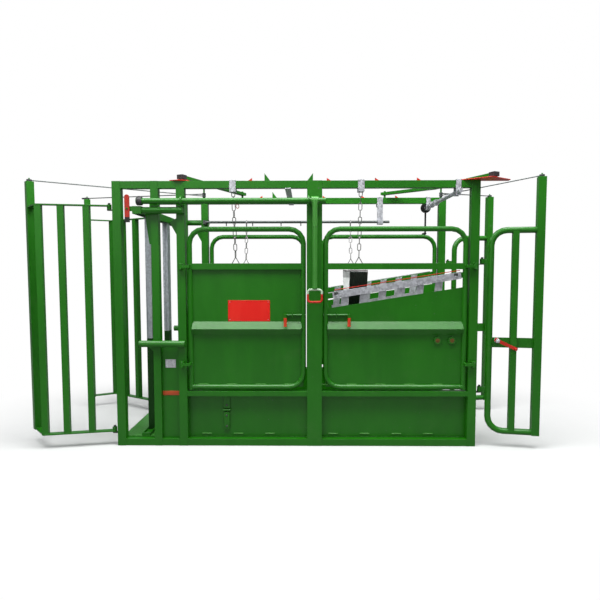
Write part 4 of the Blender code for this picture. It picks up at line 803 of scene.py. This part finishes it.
def head_strap():
    """Orange strap across the near head panel."""
    low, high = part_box("near_head_panel")
    foot, top = 0.413, 0.449
    bm = bmesh.new()
    slab(bm, (low[0] + 0.002, low[1] - 0.004, foot), (high[0] - 0.002, low[1] + 0.001, top), 0.0012)
    piece("head_strap", bm, [orange], "frame")


def kick_panel_latch():
    """Two bolted plates on the near kick panel, with a pin across between them."""
    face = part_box("near_kick_panel")[0][1]
    middle, sunk = -0.5725, face + 0.001
    plate, socket, pin = face - 0.012, face - 0.016, face - 0.011
    plate_half, socket_half, pin_half, pin_z = 0.0275, 0.0235, 0.0315, 0.284
    bm = bmesh.new()
    slab(bm, (middle - plate_half, plate, 0.300), (middle + plate_half, sunk, 0.452), 0.003)
    slab(bm, (middle - socket_half, socket, 0.120), (middle + socket_half, sunk, 0.268), 0.003)
    sweep(bm, ((middle - pin_half, pin, pin_z), (middle + pin_half, pin, pin_z)), 0.0105, 16)
    for y, z in ((socket, 0.150), (socket, 0.240), (plate, 0.325), (plate, 0.425)):
        bolt_head(bm, (middle, y, z), OUTWARDS, 0.0065, 1)
    piece("kick_panel_latch", bm, [green, hardware], "frame")


def weld_run(name, starts, long, y, z, body):
    """Stitch welds of one length in a row, in a lighter green that is a painted highlight on the beads."""
    bm = bmesh.new()
    for start in starts:
        bead(bm, start, start + long, y, z)
    piece(name, bm, [weld_highlight_green], body)


def weld_beads():
    """Stitch welds at the foot of the near kick panels and along the foot of the near doors."""
    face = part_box("near_kick_panel")[0][1]
    starts = [-0.780 + i * 0.262 for i in range(8) if i != 3]    # the centre post hides the fourth
    weld_run("kick_weld_beads", starts, 0.080, face - 0.001, 0.084, "frame")
    for word, first, count in (("front", -0.800, 4), ("rear", 0.180, 5)):
        starts = [first + i * 0.235 for i in range(count)]
        weld_run(f"near_{word}_door_welds", starts, 0.085, SIDE_Y - 0.001, DOOR_WELD_Z,
                 f"near_{word}_door_body")


def rack_strip():
    """Red strip along the top edge of the near sloping bar, riding with the rear door."""
    low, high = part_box("near_slat_bar")
    edge = low[2] + 0.0665
    bm = bmesh.new()
    corners = []
    for x in (low[0] + 0.016, high[0] - 0.014):
        top = edge + (x - low[0]) * RACK_SLOPE
        for y in (low[1] + 0.0075, low[1] + 0.020):
            for z in (top - 0.001, top + 0.0045):
                corners.append(bm.verts.new((x, y, z)))
    for quad in ((0, 1, 3, 2), (4, 6, 7, 5), (0, 4, 5, 1), (2, 3, 7, 6), (1, 5, 7, 3), (0, 2, 6, 4)):
        bm.faces.new([corners[k] for k in quad])
    piece("rack_edge_strip", bm, [red], "near_rear_door_body")


def sign_border():
    """Fine raised border and corner rivets round the red sign."""
    low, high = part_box("sign_plate")
    face, inset, step = low[1] + 0.0003, 0.006, 0.009
    bm = bmesh.new()
    sweep(bm, [(x, face, z) for x, z in plate_corners(low, high, inset)], 0.0011, 6, closed=True)
    for x, z in plate_corners(low, high, inset + step):
        rivet(bm, (x, face + 0.0004, z), OUTWARDS, 0.0032, 1)
    piece("sign_border", bm, [sign_red, plate_zinc], "near_front_door_body")


def data_plate_rivets():
    """A rivet at each corner of the data plate."""
    low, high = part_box("data_plate")
    bm = bmesh.new()
    for x, z in plate_corners(low, high, 0.006):
        rivet(bm, (x, low[1] + 0.0003, z), OUTWARDS, 0.0026)
    piece("data_plate_rivets", bm, [hardware], "frame")


def rack_bolts():
    """Dark washers and nuts on the two bolts of the near sloping bar."""
    low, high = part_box("near_slat_bar")
    washer = ((0, 0.0165), (0.0020, 0.0165), (0.0024, 0.0155))
    nut = ((0, 0.0125), (0.0030, 0.0125), (0.0045, 0.0105))
    bm = bmesh.new()
    for x in (low[0] + 0.031, high[0] - 0.047):
        z = low[2] + 0.0375 + (x - low[0]) * RACK_SLOPE
        turned(bm, (x, low[1] + 0.0065, z), OUTWARDS, washer, 24)
        turned(bm, (x, low[1] + 0.0045, z), OUTWARDS, nut, 6)
    piece("rack_bolts", bm, [hardware], "near_rear_door_body")


def shaft_line():
    """Front end, middle y, middle z and radius of the operating shaft."""
    low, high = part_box("operating_shaft")
    return low[0], 0.5 * (low[1] + high[1]), 0.5 * (low[2] + high[2]), 0.5 * (high[2] - low[2])


def shaft_collar():
    """Black collar on the shaft's front end, with a set screw on top and a bolt in the end."""
    end, y, z, radius = shaft_line()
    bore, rim = radius * 0.98, radius * 1.16
    profile = ((0, bore), (0.001, rim * 0.97), (0.003, rim), (0.037, rim), (0.039, rim * 0.97), (0.040, bore))
    bm = bmesh.new()
    turned(bm, (end + 0.004, y, z), (1, 0, 0), profile, 28)
    bolt_head(bm, (end + 0.021, y, z + rim * 0.98), (0, 0, 1), 0.0065)
    bolt_head(bm, (end + 0.0010, y, z), (-1, 0, 0), 0.0085)
    piece("shaft_collar", bm, [black], "shaft_body")


def shaft_clip():
    """Red wire clip that hangs under the shaft."""
    _, y, z, radius = shaft_line()
    x, drop = -0.456, z - radius - 0.0135
    turns = [2 * pi * k / 24 for k in range(24)]
    loop = [(x + 0.011 * cos(a), y + 0.004 * cos(a), drop + 0.0155 * sin(a)) for a in turns]
    bm = bmesh.new()
    sweep(bm, loop, 0.0026, closed=True)
    piece("shaft_clip", bm, [red], "shaft_body")


def latch_sleeve():
    """Zinc sleeve behind the rear gate's latch, and a washer and nut in front of it."""
    joint = next(j for j in frame["record"]["behaviour"]["joints"] if j["name"] == "rear_gate_latch_turn")
    pivot, out = Vector(joint["pos_m"]), Vector(joint["axis"]).normalized()
    depths = [(vertex.co - pivot).dot(out) for vertex in nodes["rear_gate_latch"].data.vertices]
    back, front = pivot + out * min(depths), pivot + out * max(depths)
    sleeve = ((0, 0.021), (0.003, 0.021), (0.004, 0.018), (0.021, 0.018), (0.022, 0.021), (0.0251, 0.021))
    washer = ((0, 0.0165), (0.0018, 0.0165), (0.0022, 0.0155))
    nut = ((0, 0.0125), (0.0070, 0.0125), (0.0085, 0.0108))
    bm = bmesh.new()
    turned(bm, back - out * 0.0256, out, sleeve, 28)
    turned(bm, front + out * 0.0004, out, washer, 24)
    turned(bm, front + out * 0.0024, out, nut, 6)
    piece("latch_sleeve", bm, [plate_zinc], "near_rear_gate_body")


for word, x in BELTS_X:
    hung_belt(word, x)
head_strap()
kick_panel_latch()
weld_beads()
rack_strip()
sign_border()
data_plate_rivets()
rack_bolts()
shaft_collar()
shaft_clip()
latch_sleeve()
